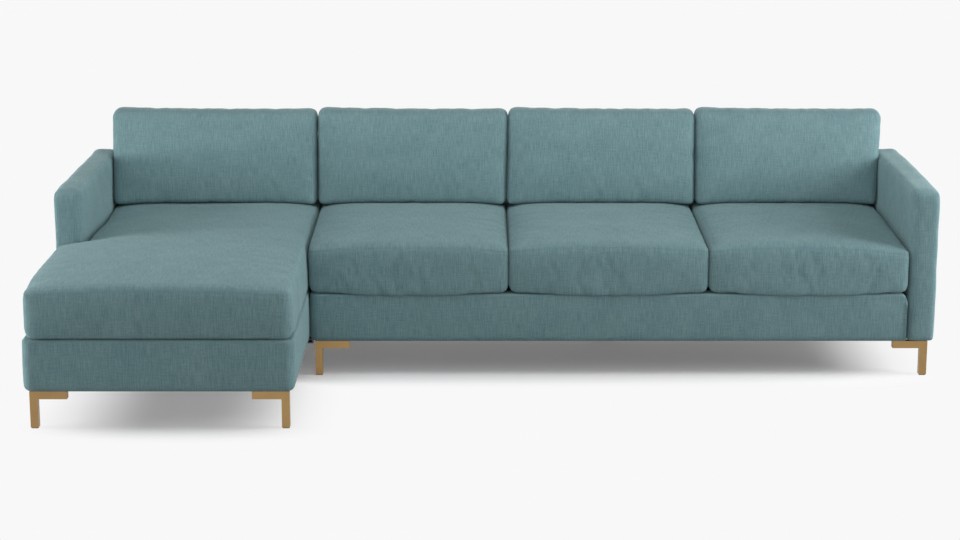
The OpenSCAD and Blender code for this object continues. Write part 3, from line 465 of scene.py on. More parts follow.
def seat_form(box, height, sizes, notch, lean):
    """Unfilled form of a seat cushion in a CAD box: a block with rounded edges, whose top follows the
    height and whose front stands out. lean holds how far the left and the right side's tops are moved
    along x. Returns points, quads, distance from the seam and way along it."""
    low, high = np.array(box[0]), np.array(box[1])
    width, depth = (high - low)[:2]
    tall = sizes.side_height
    co, quads, seam, run = seat_block(width, depth, tall, notch, sizes.cell)
    up = np.clip(co[:, 2] / tall, 0, 1)
    co[:, 2] += (height(co[:, 0], co[:, 1], width, depth) - tall) * up
    front = np.clip(1 - co[:, 1] / 0.10, 0, 1) ** 2
    bow = 4 * up * (1 - up)
    co[:, 1] -= sizes.bulge * front * bow * swell(co[:, 0], 0, width, 6)
    if notch[0] > 0:
        # The long side is drawn in at the front corner and swells behind it
        left = 0.008 - 0.010 * smooth_step(co[:, 1], 0.0, 0.22)
        left = left + 0.003 * smooth_step(co[:, 1], 0.3, notch[1])
        right = lean[1] * up + TOUCH
    else:
        behind = smooth_step(co[:, 1], notch[1], notch[1] + 0.10) * up
        left = lean[0] * behind - TOUCH
        right = lean[1] * behind + TOUCH
        # The lip stands out before the base and hangs down over its top edge
        lip = swell(co[:, 0], 0, width, 2.5)
        lip = lip * np.clip(1 - co[:, 1] / 0.05, 0, 1) * (1 - smooth_step(up, 0.0, 0.4))
        co[:, 1] -= 0.010 * lip
        co[:, 2] -= sizes.droop * lip * (1 - smooth_step(co[:, 1], -0.007, 0.002))
    share = co[:, 0] / width
    co[:, 0] += left * (1 - share) + right * share
    return co + low, quads, seam, run


def back_form(box, sizes, ends):
    """Unfilled form of a back cushion in a CAD box: its rear is flat, and its front leans back, since it
    is thinner at the top, with a crown that is flat in the middle. It sinks into the seat, its top falls
    a little to the right, and ends holds how far each side is moved along x at the bottom and the top.
    Returns points, quads, distance from the seam and way along it."""
    low, high = np.array(box[0]), np.array(box[1])
    width, _, tall = high - low
    deep = sizes.back_top
    co, quads = block_skin(*(spaced(sizes.cell, 0, size) for size in (width, deep, tall)))
    x, y, z = co.T.copy()
    edge = np.minimum(np.minimum(x, width - x), np.minimum(z, tall - z))
    # The seam runs round the cushion's sides; points on its faces count as far from it
    seam = np.where(edge < 0.004, np.abs(y - 0.45 * deep), 0.2)
    turns = (
        # The upper and the lower corners as seen from the front
        ((0, 2), (0.0, tall), (1, -1), 0.030),
        ((0, 2), (width, tall), (-1, -1), 0.030),
        ((0, 2), (0.0, 0.0), (1, 1), 0.020),
        ((0, 2), (width, 0.0), (-1, 1), 0.020),
        # The front's edges at the sides, at the top and at the bottom
        ((0, 1), (0.0, 0.0), (1, 1), 0.026),
        ((0, 1), (width, 0.0), (-1, 1), 0.026),
        ((1, 2), (0.0, tall), (1, -1), 0.034),
        ((1, 2), (0.0, 0.0), (1, 1), 0.014),
    )
    co = soften(rounded(co, turns), quads, 3)
    thick = sizes.back_foot + (sizes.back_top - sizes.back_foot) * co[:, 2] / tall
    thick = thick + sizes.back_crown * swell(co[:, 0], 0, width, 6) * swell(co[:, 2], 0, tall, 2.5)
    front = (deep - co[:, 1]) / deep
    share = co[:, 0] / width
    up = co[:, 2] / tall
    (left_low, left_high), (right_low, right_high) = ends
    left = left_low + (left_high - left_low) * up
    right = right_low + (right_high - right_low) * up
    co[:, 0] += left * (1 - share) + right * share
    co[:, 2] -= (0.005 + 0.005 * share) * up + sizes.press * (1 - up)
    co[:, 2] -= 0.007 * np.abs(2 * share - 1) ** 5 * np.clip(1 - up, 0, 1) ** 3
    co[:, 1] = high[1] - low[1] - thick * front
    return co + low, quads, seam, x + z


def fill(forms, sizes):
    """Blows each form up as cloth under pressure, all together. A seam's points are gathered and the
    rest of the cloth is cut a little large, which raises small folds along the seams."""
    scene = bpy.context.scene
    holders = []
    for name, (co, quads, seam, _) in forms.items():
        holder = bpy.data.objects.new(name + "_fill", skin_mesh(name + "_fill", co, quads))
        scene.collection.objects.link(holder)
        group = holder.vertex_groups.new(name="seam")
        group.add(np.flatnonzero(seam < 0.006).tolist(), 1.0, "REPLACE")
        cloth = holder.modifiers.new("fill", "CLOTH")
        cloth.point_cache.frame_start = 1
        cloth.point_cache.frame_end = sizes.frames
        cloth.collision_settings.use_collision = False
        settings = cloth.settings
        for key, value in CLOTH.items():
            setattr(settings, key, value)
        settings.use_pressure = True
        settings.uniform_pressure_force = sizes.pressure
        settings.vertex_group_shrink = "seam"
        settings.shrink_min = -sizes.slack
        settings.shrink_max = sizes.gather
        settings.effector_weights.gravity = 0
        holders.append(holder)
    for number in range(1, sizes.frames + 1):
        scene.frame_set(number)
    graph = bpy.context.evaluated_depsgraph_get()
    filled = {}
    for name, holder in zip(forms, holders):
        filled[name] = read_points(holder.evaluated_get(graph).data)
    for holder in holders:
        mesh = holder.data
        bpy.data.objects.remove(holder)
        bpy.data.meshes.remove(mesh)
    scene.frame_set(1)
    return filled


def settled(start, end, quads, sizes):
    """The filled cloth round its foam: the small folds count by one share, and a broad change of shape,
    which the foam inside resists, by another. No point moves further than the limit."""
    move = end - start
    # Forty rounds leave nothing of the folds
    broad = soften(move, quads, 40)
    move = (move - broad) * sizes.folds + broad * sizes.give
    length = np.linalg.norm(move, axis=1, keepdims=True)
    return start + move * np.minimum(1, sizes.swell / np.maximum(length, 1e-9))


def sew(co, quads, seam, run, sizes, seed):
    """Draws the seam in by a bell curve across it, and raises folds that stand across the seam and
    fade within three centimetres: sine waves along the seam with uneven lengths."""
    groove = -sizes.seam_depth * np.exp(-((seam / sizes.seam_width) ** 2))
    shift = 1.7 * seed
    folds = sum(
        share * np.sin(2 * np.pi * run / size + number * shift)
        for number, (size, share) in enumerate(FOLD_WAVES, 1)
    )
    strength = 0.5 + 0.5 * np.sin(2 * np.pi * run / 0.31 + shift)
    fold = sizes.pucker * folds * strength * np.exp(-np.abs(seam - 0.008) / 0.012)
    return co + point_normals(co, quads) * (groove + fold)[:, None]


def make_cushions(cushions, first_seed):
    """Fills and sews cushions and makes them pieces, each on the body of its name. cushions holds, by
    name, the form, the two corners of the box that it is pressed into and the CAD node it stands for."""
    sizes = bpy.context.scene.sofa_fill
    forms = {name: form for name, (form, _, _) in cushions.items()}
    filled = fill(forms, sizes)
    for seed, (name, (form, (low, high), node)) in enumerate(cushions.items(), first_seed):
        start, quads, seam, run = form
        # A cushion is flat where it lies on something
        co = np.clip(settled(start, filled[name], quads, sizes), low, high)
        mesh = divided(skin_mesh(name, co, quads, seam=seam, run=run))
        mesh.name = name
        seam, run = (read_attribute(mesh, key) for key in ("seam", "run"))
        fine = np.clip(sew(read_points(mesh), read_quads(mesh), seam, run, sizes, seed), low, high)
        mesh.vertices.foreach_set("co", fine.astype(np.float32).ravel())
        for key in ("seam", "run"):
            mesh.attributes.remove(mesh.attributes[key])
        mesh.update()
        upholster(name, mesh, name, [node], 0.37 * seed)


class SOFA_OT_seat_cushions(bpy.types.Operator):
    """Makes the three seat cushions and the notched chaise cushion"""

    bl_idname = "sofa.seat_cushions"
    bl_label = "Seat cushions"

    def execute(self, context):
        sizes = context.scene.sofa_cushions
        cushions = {}
        for side in SEATS:
            node = f"{side}_seat_cover"
            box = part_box(node)
            lean = (SEAT_LEAN if side == "left" else 0.0, 0.0)
            # The right seat is the most worn
            fall = 0.010 if side == "right" else 0.0
            form = seat_form(
                box, lambda x, y, w, d: seat_height(x, y, w, d, sizes, fall), sizes, (0.0, 0.0), lean
            )
            # The cushion's lip may stand out in front and hang down, and its crown may rise
            touch = 0.0010 if side == "left" else 0.0004
            low = np.array(box[0]) + [lean[0] - touch, -0.022, -sizes.droop]
            high = np.array(box[1]) + [0.0004, 0, 0.02]
            cushions[f"{side}_seat_cushion"] = (form, (low, high), node)
        node = "chaise_seat_cover"
        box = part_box(node)
        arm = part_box("left_arm_cover")
        notch = (arm[1][0] + 0.001 - box[0][0], arm[0][1] - 0.003 - box[0][1])
        form = seat_form(
            box, lambda x, y, w, d: chaise_height(x, y, w, d, notch, sizes), sizes, notch, (0.0, SEAT_LEAN)
        )
        low = np.array(box[0]) + [-0.007, -0.012, 0.0003]
        high = np.array(box[1]) + [0.001, 0, 0.03]
        cushions["chaise_seat_cushion"] = (form, (low, high), node)
        make_cushions(cushions, 1)
        return {"FINISHED"}


class SOFA_OT_back_cushions(bpy.types.Operator):
    """Makes the four back cushions"""

    bl_idname = "sofa.back_cushions"
    bl_label = "Back cushions"

    def execute(self, context):
        sizes = context.scene.sofa_cushions
        cushions = {}
        # Where the joints between the cushions stand off the seats' joints, at the bottom and the top
        joints = ((0.0, 0.0), (-0.011, -0.011), (-0.001, 0.007), (0.010, 0.010), (0.0, 0.014))
        for number, side in enumerate(BACKS):
            node = f"{side}_back_cushion_cover"
            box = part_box(node)
            left, right = joints[number], joints[number + 1]
            touch = (-TOUCH if number > 0 else 0.0, TOUCH if number < 3 else 0.0)
            wide = tuple(tuple(end + more for end in pair) for pair, more in zip((left, right), touch))
            low = np.array(box[0]) + [min(left) - 0.0001, -0.030, -sizes.press - 0.008]
            high = np.array(box[1]) + [max(right) + 0.0001, 0, 0.002]
            cushions[f"{side}_back_cushion"] = (back_form(box, sizes, wide), (low, high), node)
        make_cushions(cushions, 11)
        return {"FINISHED"}


# Fixed upholstery, foam and decks


def padded_block(box, cell, rounds, swells=(0.0, 0.0, 0.0), turns=(), notch=None):
    """Upholstered block that fills a box, with or without a notch: its corners are rounded by the turns,
    every edge is softened, and its faces swell by the given amounts along x, y and z."""
    low, high = np.array(box[0]), np.array(box[1])
    co, quads = block_skin(*(spaced(cell, low[axis], high[axis]) for axis in range(3)), notch)
    co = soften(rounded(co, turns), quads, rounds)
    middle = (low + high) / 2
    half = (high - low) / 2
    for axis in range(3):
        a, b = (axis + 1) % 3, (axis + 2) % 3
        bulge = swell(co[:, a], low[a], high[a], 3) * swell(co[:, b], low[b], high[b], 3)
        co[:, axis] += swells[axis] * bulge * (co[:, axis] - middle[axis]) / half[axis]
    return co, quads


def uneven(co, quads, height, size, seed):
    """The points moved along their normals by soft ripples of the given height and length."""
    return co + point_normals(co, quads) * (height * ripples(co, size, seed))[:, None]


class SOFA_OT_arms(bpy.types.Operator):
    """Makes the two arms' upholstery"""

    bl_idname = "sofa.arms"
    bl_label = "Arms"

    def execute(self, context):
        arms = (("left_arm", CHAISE), ("right_arm", SOFA))
        for outer, (name, body) in enumerate(arms):
            node = name + "_cover"
            low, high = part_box(node)
            outer_x = (low, high)[outer][0]
            inner_x = (high, low)[outer][0]
            inward = 1 - 2 * outer
            turns = (
                # The top's front and rear corner
                ((1, 2), (low[1], high[2]), (1, -1), 0.030),
                ((1, 2), (high[1], high[2]), (-1, -1), 0.020),
                # The top's outer and inner edge, and the front's inner one
                ((0, 2), (outer_x, high[2]), (inward, -1), 0.022),
                ((0, 2), (inner_x, high[2]), (-inward, -1), 0.012),
                ((0, 1), (inner_x, low[1]), (-inward, 1), 0.030),
            )
            co, quads = padded_block(
                (low, high), cell=0.0085, rounds=9, swells=(0.002, 0.001, 0.002), turns=turns
            )
            # The outer face stands out a little, and its top edge is fuller towards the rear, both more
            # on the right arm
            rim = 0.045
            near = np.clip(1 - np.abs(co[:, 0] - outer_x) / rim, 0, 1)
            top = np.clip(1 - (high[2] - co[:, 2]) / rim, 0, 1)
            rear = smooth_step(co[:, 1], low[1], high[1] - 0.15)
            co[:, 0] -= inward * near * (0.0025 * outer + (0.001 + 0.003 * outer) * top * rear)
            co[:, 2] += (0.001 + 0.006 * outer) * near * top * rear
            co = uneven(co, quads, height=0.0011, size=0.16, seed=31 + outer)
            upholster(name, skin_mesh(name, co, quads), body, [node], 0.21 + outer)
        return {"FINISHED"}


class SOFA_OT_backs(bpy.types.Operator):
    """Makes the upholstery of the fixed backs"""

    bl_idname = "sofa.backs"
    bl_label = "Fixed backs"

    def execute(self, context):
        backs = (("sofa_back", "back_cover", SOFA), ("chaise_back", "chaise_back_cover", CHAISE))
        for seed, (name, node, body) in enumerate(backs, 41):
            co, quads = padded_block(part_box(node), cell=0.0095, rounds=5, swells=(0.0, 0.002, 0.001))
            co = uneven(co, quads, height=0.0009, size=0.22, seed=seed)
            upholster(name, skin_mesh(name, co, quads), body, [node], 0.11 * seed)
        return {"FINISHED"}


def drawn_in_path(corners, radius, inward, cell, arc_steps):
    """Points of a path of straight runs and left-hand right-angled turns, drawn in by each distance in
    inward. A turn is a quarter circle whose radius shrinks by the distance, down to three millimetres."""
    corners = np.array(corners, float)
    inward = np.array(inward, float)
    ways = np.diff(corners, axis=0)
    lengths = np.linalg.norm(ways, axis=1, keepdims=True)
    ways = ways / lengths
    normals = np.stack([-ways[:, 1], ways[:, 0]], axis=1)
    turn_r = np.maximum(radius - inward, 0.003)[:, None]
    depth = inward[:, None]
    starts = [corners[0] + depth * normals[0]]
    ends = []
    arcs = []
    for i in range(1, len(corners) - 1):
        both = normals[i - 1] + normals[i]
        centre = corners[i] + (depth + turn_r) * both
        angle = np.linspace(0, np.pi / 2, arc_steps + 1)[1:-1, None, None]
        arcs.append(centre - turn_r * (normals[i - 1] * np.cos(angle) + normals[i] * np.sin(angle)))
        ends.append(centre - turn_r * normals[i - 1])
        starts.append(centre - turn_r * normals[i])
    ends.append(corners[-1] + depth * normals[-1])
    samples = []
    for i, (start, end) in enumerate(zip(starts, ends)):
        share = spaced(cell / lengths[i, 0], 0, 1)[:, None, None]
        samples.append(start + (end - start) * share)
        if i < len(arcs):
            samples.append(arcs[i])
    return np.concatenate(samples)


def rail_profile(bottom, top, lip, pad, pad_top, pad_under, top_r, bottom_r, belly):
    """Closed profile of the padding round a rail, as distance in from the face and height: the outside
    from the top lip over a quarter circle, down a slightly bulging face and under, and back inside."""
    arc_points, face_points, ledge_points = 8, 19, 6
    arc = np.linspace(0, np.pi / 2, arc_points)
    face = np.linspace(top - top_r, bottom + bottom_r, face_points)[1:-1]
    face_in = -belly * np.sin(np.pi * (face - bottom) / (top - bottom))
    start_in = -belly * math.sin(math.pi * top_r / (top - bottom))
    above = np.linspace(lip, top_r, ledge_points)[:-1]
    under = np.linspace(bottom_r, lip, ledge_points)[1:]
    outside = np.concatenate(
        [
            np.stack([above, np.full(len(above), top)], axis=1),
            np.stack([top_r - (top_r - start_in) * np.sin(arc), top - top_r + top_r * np.cos(arc)], axis=1),
            np.stack([face_in, face], axis=1),
            np.stack(
                [bottom_r - (bottom_r - start_in) * np.cos(arc), bottom + bottom_r - bottom_r * np.sin(arc)],
                axis=1,
            ),
            np.stack([under, np.full(len(under), bottom)], axis=1),
        ]
    )
    turns = np.array(
        [[lip, top - pad_top], [pad, top - pad_top], [pad, bottom + pad_under], [lip, bottom + pad_under]]
    )
    way = np.concatenate([[0], np.cumsum(np.linalg.norm(np.diff(turns, axis=0), axis=1))])
    share = np.linspace(0, way[-1], len(outside))
    inside = np.stack([np.interp(share, way, turns[:, 0]), np.interp(share, way, turns[:, 1])], axis=1)
    return outside, inside


def wrapped_rail(corners, radius, profile, cell):
    """The profile's outside and inside carried along a path with rounded corners, closed at both ends.

    Returns the points and the quads."""
    outside, inside = profile
    ring = np.concatenate([outside, inside[::-1]])
    plan = drawn_in_path(corners, radius, ring[:, 0], cell, 8)
    count, size = plan.shape[:2]
    tall = np.broadcast_to(ring[:, 1], (count, size))
    co = np.concatenate([plan, tall[..., None]], axis=2).reshape(-1, 3)
    index = np.arange(count * size).reshape(count, size)
    after = np.roll(index, -1, axis=1)
    walls = np.stack([index[:-1], index[1:], after[1:], after[:-1]], axis=-1).reshape(-1, 4)
    strip = np.arange(size // 2 - 1)
    caps = []
    for end, flip in ((index[0], 1), (index[-1], -1)):
        quad = np.stack([end[strip], end[strip + 1], end[size - 2 - strip], end[size - 1 - strip]], axis=1)
        caps.append(quad[:, ::flip])
    quads = np.concatenate([walls] + caps)
    middle = co[quads].mean(axis=1) - co.mean(axis=0)
    if (quad_normals(co, quads) * middle).sum() < 0:
        quads = quads[:, ::-1]
    return co, quads


class SOFA_OT_base(bpy.types.Operator):
    """Makes the upholstery of both bases"""

    bl_idname = "sofa.base"
    bl_label = "Bases"

    CELL = 0.009

    def execute(self, context):
        front_low, front_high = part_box("front_cover")
        end_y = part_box("end_cover")[1][1]
        low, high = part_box("chaise_front_cover")
        side_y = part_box("chaise_side_covers")[1][1]
        arm_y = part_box("left_arm_cover")[0][1]
        bottom, top = front_low[2], front_high[2]
        profile = rail_profile(
            bottom, top, lip=0.058, pad=0.0142, pad_top=0.0081, pad_under=0.0041, top_r=0.009,
            bottom_r=0.020, belly=0.0022,
        )
        sofa_plan = [(front_low[0], end_y), (front_low[0], front_low[1]), (front_high[0], front_low[1])]
        chaise_plan = [(low[0], arm_y - 0.0003), (low[0], low[1]), (high[0], low[1]), (high[0], side_y)]
        pieces = (
            ("sofa_base", sofa_plan, SOFA, ["front_cover", "end_cover"]),
            ("chaise_base", chaise_plan, CHAISE, ["chaise_front_cover", "chaise_side_covers"]),
        )
        for seed, (name, plan, body, nodes) in enumerate(pieces, 51):
            co, quads = wrapped_rail(plan, 0.030, profile, self.CELL)
            if body == SOFA:
                co = self.round_end(co, front_high[0], top, 0.027)
            height = 0.0012 * ripples(co, 0.19, seed)
            co = co + point_normals(co, quads) * height[:, None] * self.outer(co, plan)[:, None]
            upholster(name, skin_mesh(name, co, quads), body, nodes, 0.07 * seed)
        return {"FINISHED"}

    @staticmethod
    def outer(co, corners):
        """One on the outside of the base and nothing on the walls round the rail."""
        corners = np.array(corners)
        distance = np.full(len(co), 1.0)
        for a, b in zip(corners[:-1], corners[1:]):
            way = (b - a) / np.linalg.norm(b - a)
            normal = np.array([-way[1], way[0]])
            distance = np.minimum(distance, (co[:, :2] - a) @ normal)
        return np.clip(1 - distance / 0.012, 0, 1)

    def round_end(self, co, end_x, top, radius):
        """Rounds the top corner at the right end, where the base meets the arm, by a quarter circle.
        Below the corner the last points before the end are moved close to it, so that its edge is crisp."""
        before = end_x - co[:, 0]
        last = (before < 1.5 * self.CELL) & (before > 0.0001) & (co[:, 2] < top - radius)
        co[:, 0] = np.where(last, end_x - 0.001, co[:, 0])
        past = np.clip(co[:, 0] - (end_x - radius), 0, radius)
        drop = radius - np.sqrt(radius**2 - past**2)
        share = np.clip((co[:, 2] - (top - 3 * radius)) / (3 * radius), 0, 1)
        co[:, 2] -= drop * share
        return co


class SOFA_OT_cores(bpy.types.Operator):
    """Makes the foam cores inside the cushions"""

    bl_idname = "sofa.cores"
    bl_label = "Foam cores"

    def execute(self, context):
        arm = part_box("left_arm_cover")
        notches = {"chaise_seat": (arm[1][0] + 0.041, arm[0][1] - 0.050)}
        cores = [f"{side}_seat" for side in SEATS] + [f"{side}_back" for side in BACKS] + ["chaise_seat"]
        for core in cores:
            node = core + "_core"
            co, quads = padded_block(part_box(node), cell=0.014, rounds=2, notch=notches.get(core))
            mesh = skin_mesh(node, co, quads)
            add_piece(node + "_foam", mesh, core + "_cushion", "foam", [node])
        return {"FINISHED"}


class SOFA_OT_decks(bpy.types.Operator):
    """Makes the deck pads over the springs"""

    bl_idname = "sofa.decks"
    bl_label = "Decks"

    def execute(self, context):
        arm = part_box("left_arm_cover")
        arm_notch = (arm[1][0] + 0.040, arm[0][1])
        for node, body, notch in (("deck", SOFA, None), ("chaise_deck", CHAISE, arm_notch)):
            low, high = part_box(node)
            co, quads = padded_block((low, high), cell=0.012, rounds=2, notch=notch)
            mesh = skin_mesh(node + "_pad", self.quilted(co, low[2], high[2]), quads)
            lay_cloth(mesh)
            add_piece(node + "_pad", mesh, body, "deck", [node])
        return {"FINISHED"}

    @staticmethod
    def quilted(co, low, high):
        """The pad's top swells a millimetre between stitched lines ten centimetres apart."""
        top = np.clip((co[:, 2] - (low + high) / 2) / ((high - low) / 2), 0, 1)
        waves = np.abs(np.sin(np.pi * co[:, 0] / 0.10)) * np.abs(np.sin(np.pi * co[:, 1] / 0.10))
        co[:, 2] -= 0.0012 * top * (1 - np.sqrt(waves))
        return co


class SOFA_OT_dust_cloths(bpy.types.Operator):
    """Makes the dust cloths stretched under the frames"""

    bl_idname = "sofa.dust_cloths"
    bl_label = "Dust cloths"

    CELL = 0.02
    SAG = 0.0008
    THICKNESS = 0.0004
    # Half the width of the hole round a post
    HOLE = 0.028

    def execute(self, context):
        self.cloth("dust_cloth", "dust_cover", SOFA, "front_rail", ["support_leg"])
        self.cloth("chaise_dust_cloth", "chaise_dust_cover", CHAISE, "chaise_front_rail", [])
        return {"FINISHED"}

    def cloth(self, name, node, body, rail, posts):
        """Grid just under a node's top that sags by less than a millimetre, with a hole round each post."""
        low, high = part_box(node)
        x, y = np.meshgrid(
            *(spaced(self.CELL, low[axis], high[axis]) for axis in range(2)), indexing="ij"
        )
        sag = self.SAG * swell(x, low[0], high[0]) * swell(y, low[1], high[1])
        co = np.stack([x, y, high[2] - 0.0003 - sag], axis=-1).reshape(-1, 3)
        index = np.arange(len(co)).reshape(x.shape)
        quads = np.stack([index[:-1, :-1], index[:-1, 1:], index[1:, 1:], index[1:, :-1]], axis=-1)
        quads = quads.reshape(-1, 4)
        for post in posts:
            middle = np.array(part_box(post)).mean(axis=0)[:2]
            away = np.abs(co[quads].mean(axis=1)[:, :2] - middle).max(axis=1)
            quads = quads[away > self.HOLE]
        used, index = np.unique(quads, return_inverse=True)
        mesh = skin_mesh(name, co[used], index.reshape(-1, 4))
        lay_cloth(mesh)
        piece = add_piece(name, mesh, body, "dust", [node])
        piece.modifiers.new("cloth", "SOLIDIFY").thickness = self.THICKNESS


# Finishes


def linear(colour):
    """sRGB hex value as linear red, green, blue and alpha."""
    parts = [int(colour[i : i + 2], 16) / 255 for i in (1, 3, 5)]
    return tuple(c / 12.92 if c <= 0.04045 else ((c + 0.055) / 1.055) ** 2.4 for c in parts) + (1.0,)


def add(tree, kind, inputs=None, **settings):
    """Adds a node with its settings. inputs are values, or outputs of other nodes to link."""
    node = tree.nodes.new(kind)
    for key, value in settings.items():
        setattr(node, key, value)
    for key, value in (inputs or {}).items():
        if isinstance(value, bpy.types.NodeSocket):
            tree.links.new(value, node.inputs[key])
        else:
            node.inputs[key].default_value = value
    return node


def new_material(name):
    """Material with only its output left. Returns the material, its node tree and the output."""
    material = bpy.data.materials.new(name)
    material.use_nodes = True
    tree = material.node_tree
    tree.nodes.clear()
    return material, tree, add(tree, "ShaderNodeOutputMaterial")


def surface(made, share, tones, height, relief, inputs):
    """Ends a new material with its shader: its colour goes from the first to the second of two tones by
    the share, and its relief follows the height with a strength and a depth in metres. inputs holds the
    shader's other settings."""
    material, tree, output = made
    first, second = (linear(tone) for tone in tones)
    base = add(tree, "ShaderNodeMix", {0: share, 6: first, 7: second}, data_type="RGBA").outputs[2]
    strength, depth = relief
    bump = add(tree, "ShaderNodeBump", {"Height": height, "Strength": strength, "Distance": depth})
    shader = add(
        tree,
        "ShaderNodeBsdfPrincipled",
        {"Base Color": base, "Normal": bump.outputs["Normal"], **inputs},
    )
    tree.links.new(shader.outputs[0], output.inputs["Surface"])
    return material


def melange_weave(colours):
    # Polyester and linen blend, plain weave of melange yarn: matt, with a faint sheen at the edges
    made = new_material("melange_weave_cloth")
    tree = made[1]
    cloth = add(tree, "ShaderNodeUVMap", uv_map="cloth").outputs["UV"]
    # Real yarns lie 1.1 mm apart, too fine to show, so the slubs are drawn 3.4 mm wide and 50 mm long
    slub = 1 / 0.0034
    reach = 1 / 0.050
    warp_way, weft_way = (
        add(tree, "ShaderNodeMapping", {"Vector": cloth, "Scale": scale}).outputs["Vector"]
        for scale in ((slub, reach, 1), (reach, slub, 1))
    )
    # Slubs along both yarns, specks of 4 mm and clouds of 110 mm
    warp, weft, speck, cloud = (
        add(
            tree,
            "ShaderNodeTexNoise",
            {"Vector": way, "Scale": scale, "Detail": 2.0, "Roughness": roughness},
            noise_dimensions="2D",
        ).outputs["Fac"]
        for way, scale, roughness in (
            (warp_way, 1.0, 0.6),
            (weft_way, 1.0, 0.6),
            (cloth, 1 / 0.004, 0.7),
            (cloth, 1 / 0.11, 0.5),
        )
    )
    yarns = add(tree, "ShaderNodeMath", {0: weft, 1: 0.5, 2: warp}, operation="MULTIPLY_ADD").outputs[0]
    flecks = add(tree, "ShaderNodeMath", {0: speck, 1: 0.8, 2: yarns}, operation="MULTIPLY_ADD").outputs[0]
    tone = add(tree, "ShaderNodeMath", {0: cloud, 1: 0.3, 2: flecks}, operation="MULTIPLY_ADD").outputs[0]
    share = add(
        tree, "ShaderNodeMapRange", {"Value": tone, "From Min": 0.75, "From Max": 1.85}
    ).outputs["Result"]
    inputs = {
        "Roughness": 0.92,
        "Specular IOR Level": 0.25,
        "Sheen Weight": 0.26,
        "Sheen Roughness": 0.5,
        "Sheen Tint": linear("#bcd0d0"),
    }
    return surface(made, share, (colours.yarn_dark, colours.yarn_light), flecks, (0.5, 0.0006), inputs)


def satin_brass(colours):
    # Brass-plated square bar, brushed along its length and lacquered: warm, with soft long reflections
    made = new_material("satin_brass")
    tree = made[1]
    place = add(tree, "ShaderNodeTexCoord").outputs["Object"]
    # Brush lines are 0.4 mm apart on the real metal and are drawn 1.5 mm apart
    brushed = add(
        tree, "ShaderNodeMapping", {"Vector": place, "Scale": (1 / 0.03, 1 / 0.03, 1 / 0.0015)}
    ).outputs["Vector"]
    lines = add(
        tree, "ShaderNodeTexNoise", {"Vector": brushed, "Scale": 1.0, "Detail": 3.0}
    ).outputs["Fac"]
    wear = add(tree, "ShaderNodeTexNoise", {"Vector": place, "Scale": 1 / 0.05, "Detail": 2.0}).outputs["Fac"]
    rough = add(
        tree,
        "ShaderNodeMapRange",
        {"Value": lines, "From Min": 0.3, "From Max": 0.7, "To Min": 0.30, "To Max": 0.42},
    ).outputs["Result"]
    inputs = {"Metallic": 1.0, "Roughness": rough}
    return surface(made, wear, (colours.brass, "#91724a"), lines, (0.08, 0.0004), inputs)


def beech(colours):
    # Kiln-dried beech, planed and left raw: pale, with long fine grain and short rays
    made = new_material("planed_beech")
    tree = made[1]
    place = add(tree, "ShaderNodeTexCoord").outputs["Object"]
    # Growth rings of beech lie 2 to 4 mm apart
    stretched = add(
        tree, "ShaderNodeMapping", {"Vector": place, "Scale": (1 / 0.12, 1 / 0.12, 1 / 0.006)}
    ).outputs["Vector"]
    grain = add(
        tree, "ShaderNodeTexNoise", {"Vector": stretched, "Scale": 1.0, "Detail": 4.0, "Roughness": 0.6}
    ).outputs["Fac"]
    return surface(made, grain, (colours.beech, "#a97f52"), grain, (0.2, 0.0003), {"Roughness": 0.62})


def speckled(name, tones, cell, roughness, metallic=0.0, bump_height=0.0003, specular=0.5):
    """Finish whose colour varies between two tones, and its relief with it, by noise whose cells have the
    given size, drawn as coarse as the real grain needs to show."""
    made = new_material(name)
    tree = made[1]
    place = add(tree, "ShaderNodeTexCoord").outputs["Object"]
    noise = {"Vector": place, "Scale": 1 / cell, "Detail": 3.0}
    grain = add(tree, "ShaderNodeTexNoise", noise).outputs["Fac"]
    inputs = {"Roughness": roughness, "Metallic": metallic, "Specular IOR Level": specular}
    return surface(made, grain, tones, grain, (0.4, bump_height), inputs)


def plain_cloth(name, tones, pitch):
    """Plain woven cloth: yarns drawn as two crossed sets of waves at the given distance."""
    made = new_material(name)
    tree = made[1]
    cloth = add(tree, "ShaderNodeUVMap", uv_map="cloth").outputs["UV"]
    # At a scale of one the node's waves are a tenth of pi long
    waves = {"Vector": cloth, "Scale": math.pi / 10 / pitch, "Distortion": 0.6}
    across, along = (
        add(tree, "ShaderNodeTexWave", waves, bands_direction=way).outputs["Fac"] for way in ("X", "Y")
    )
    weave = add(tree, "ShaderNodeMath", {0: across, 1: along}, operation="MULTIPLY").outputs[0]
    inputs = {"Roughness": 0.9, "Specular IOR Level": 0.2}
    return surface(made, weave, tones, weave, (0.4, 0.0004), inputs)


finishes = {}


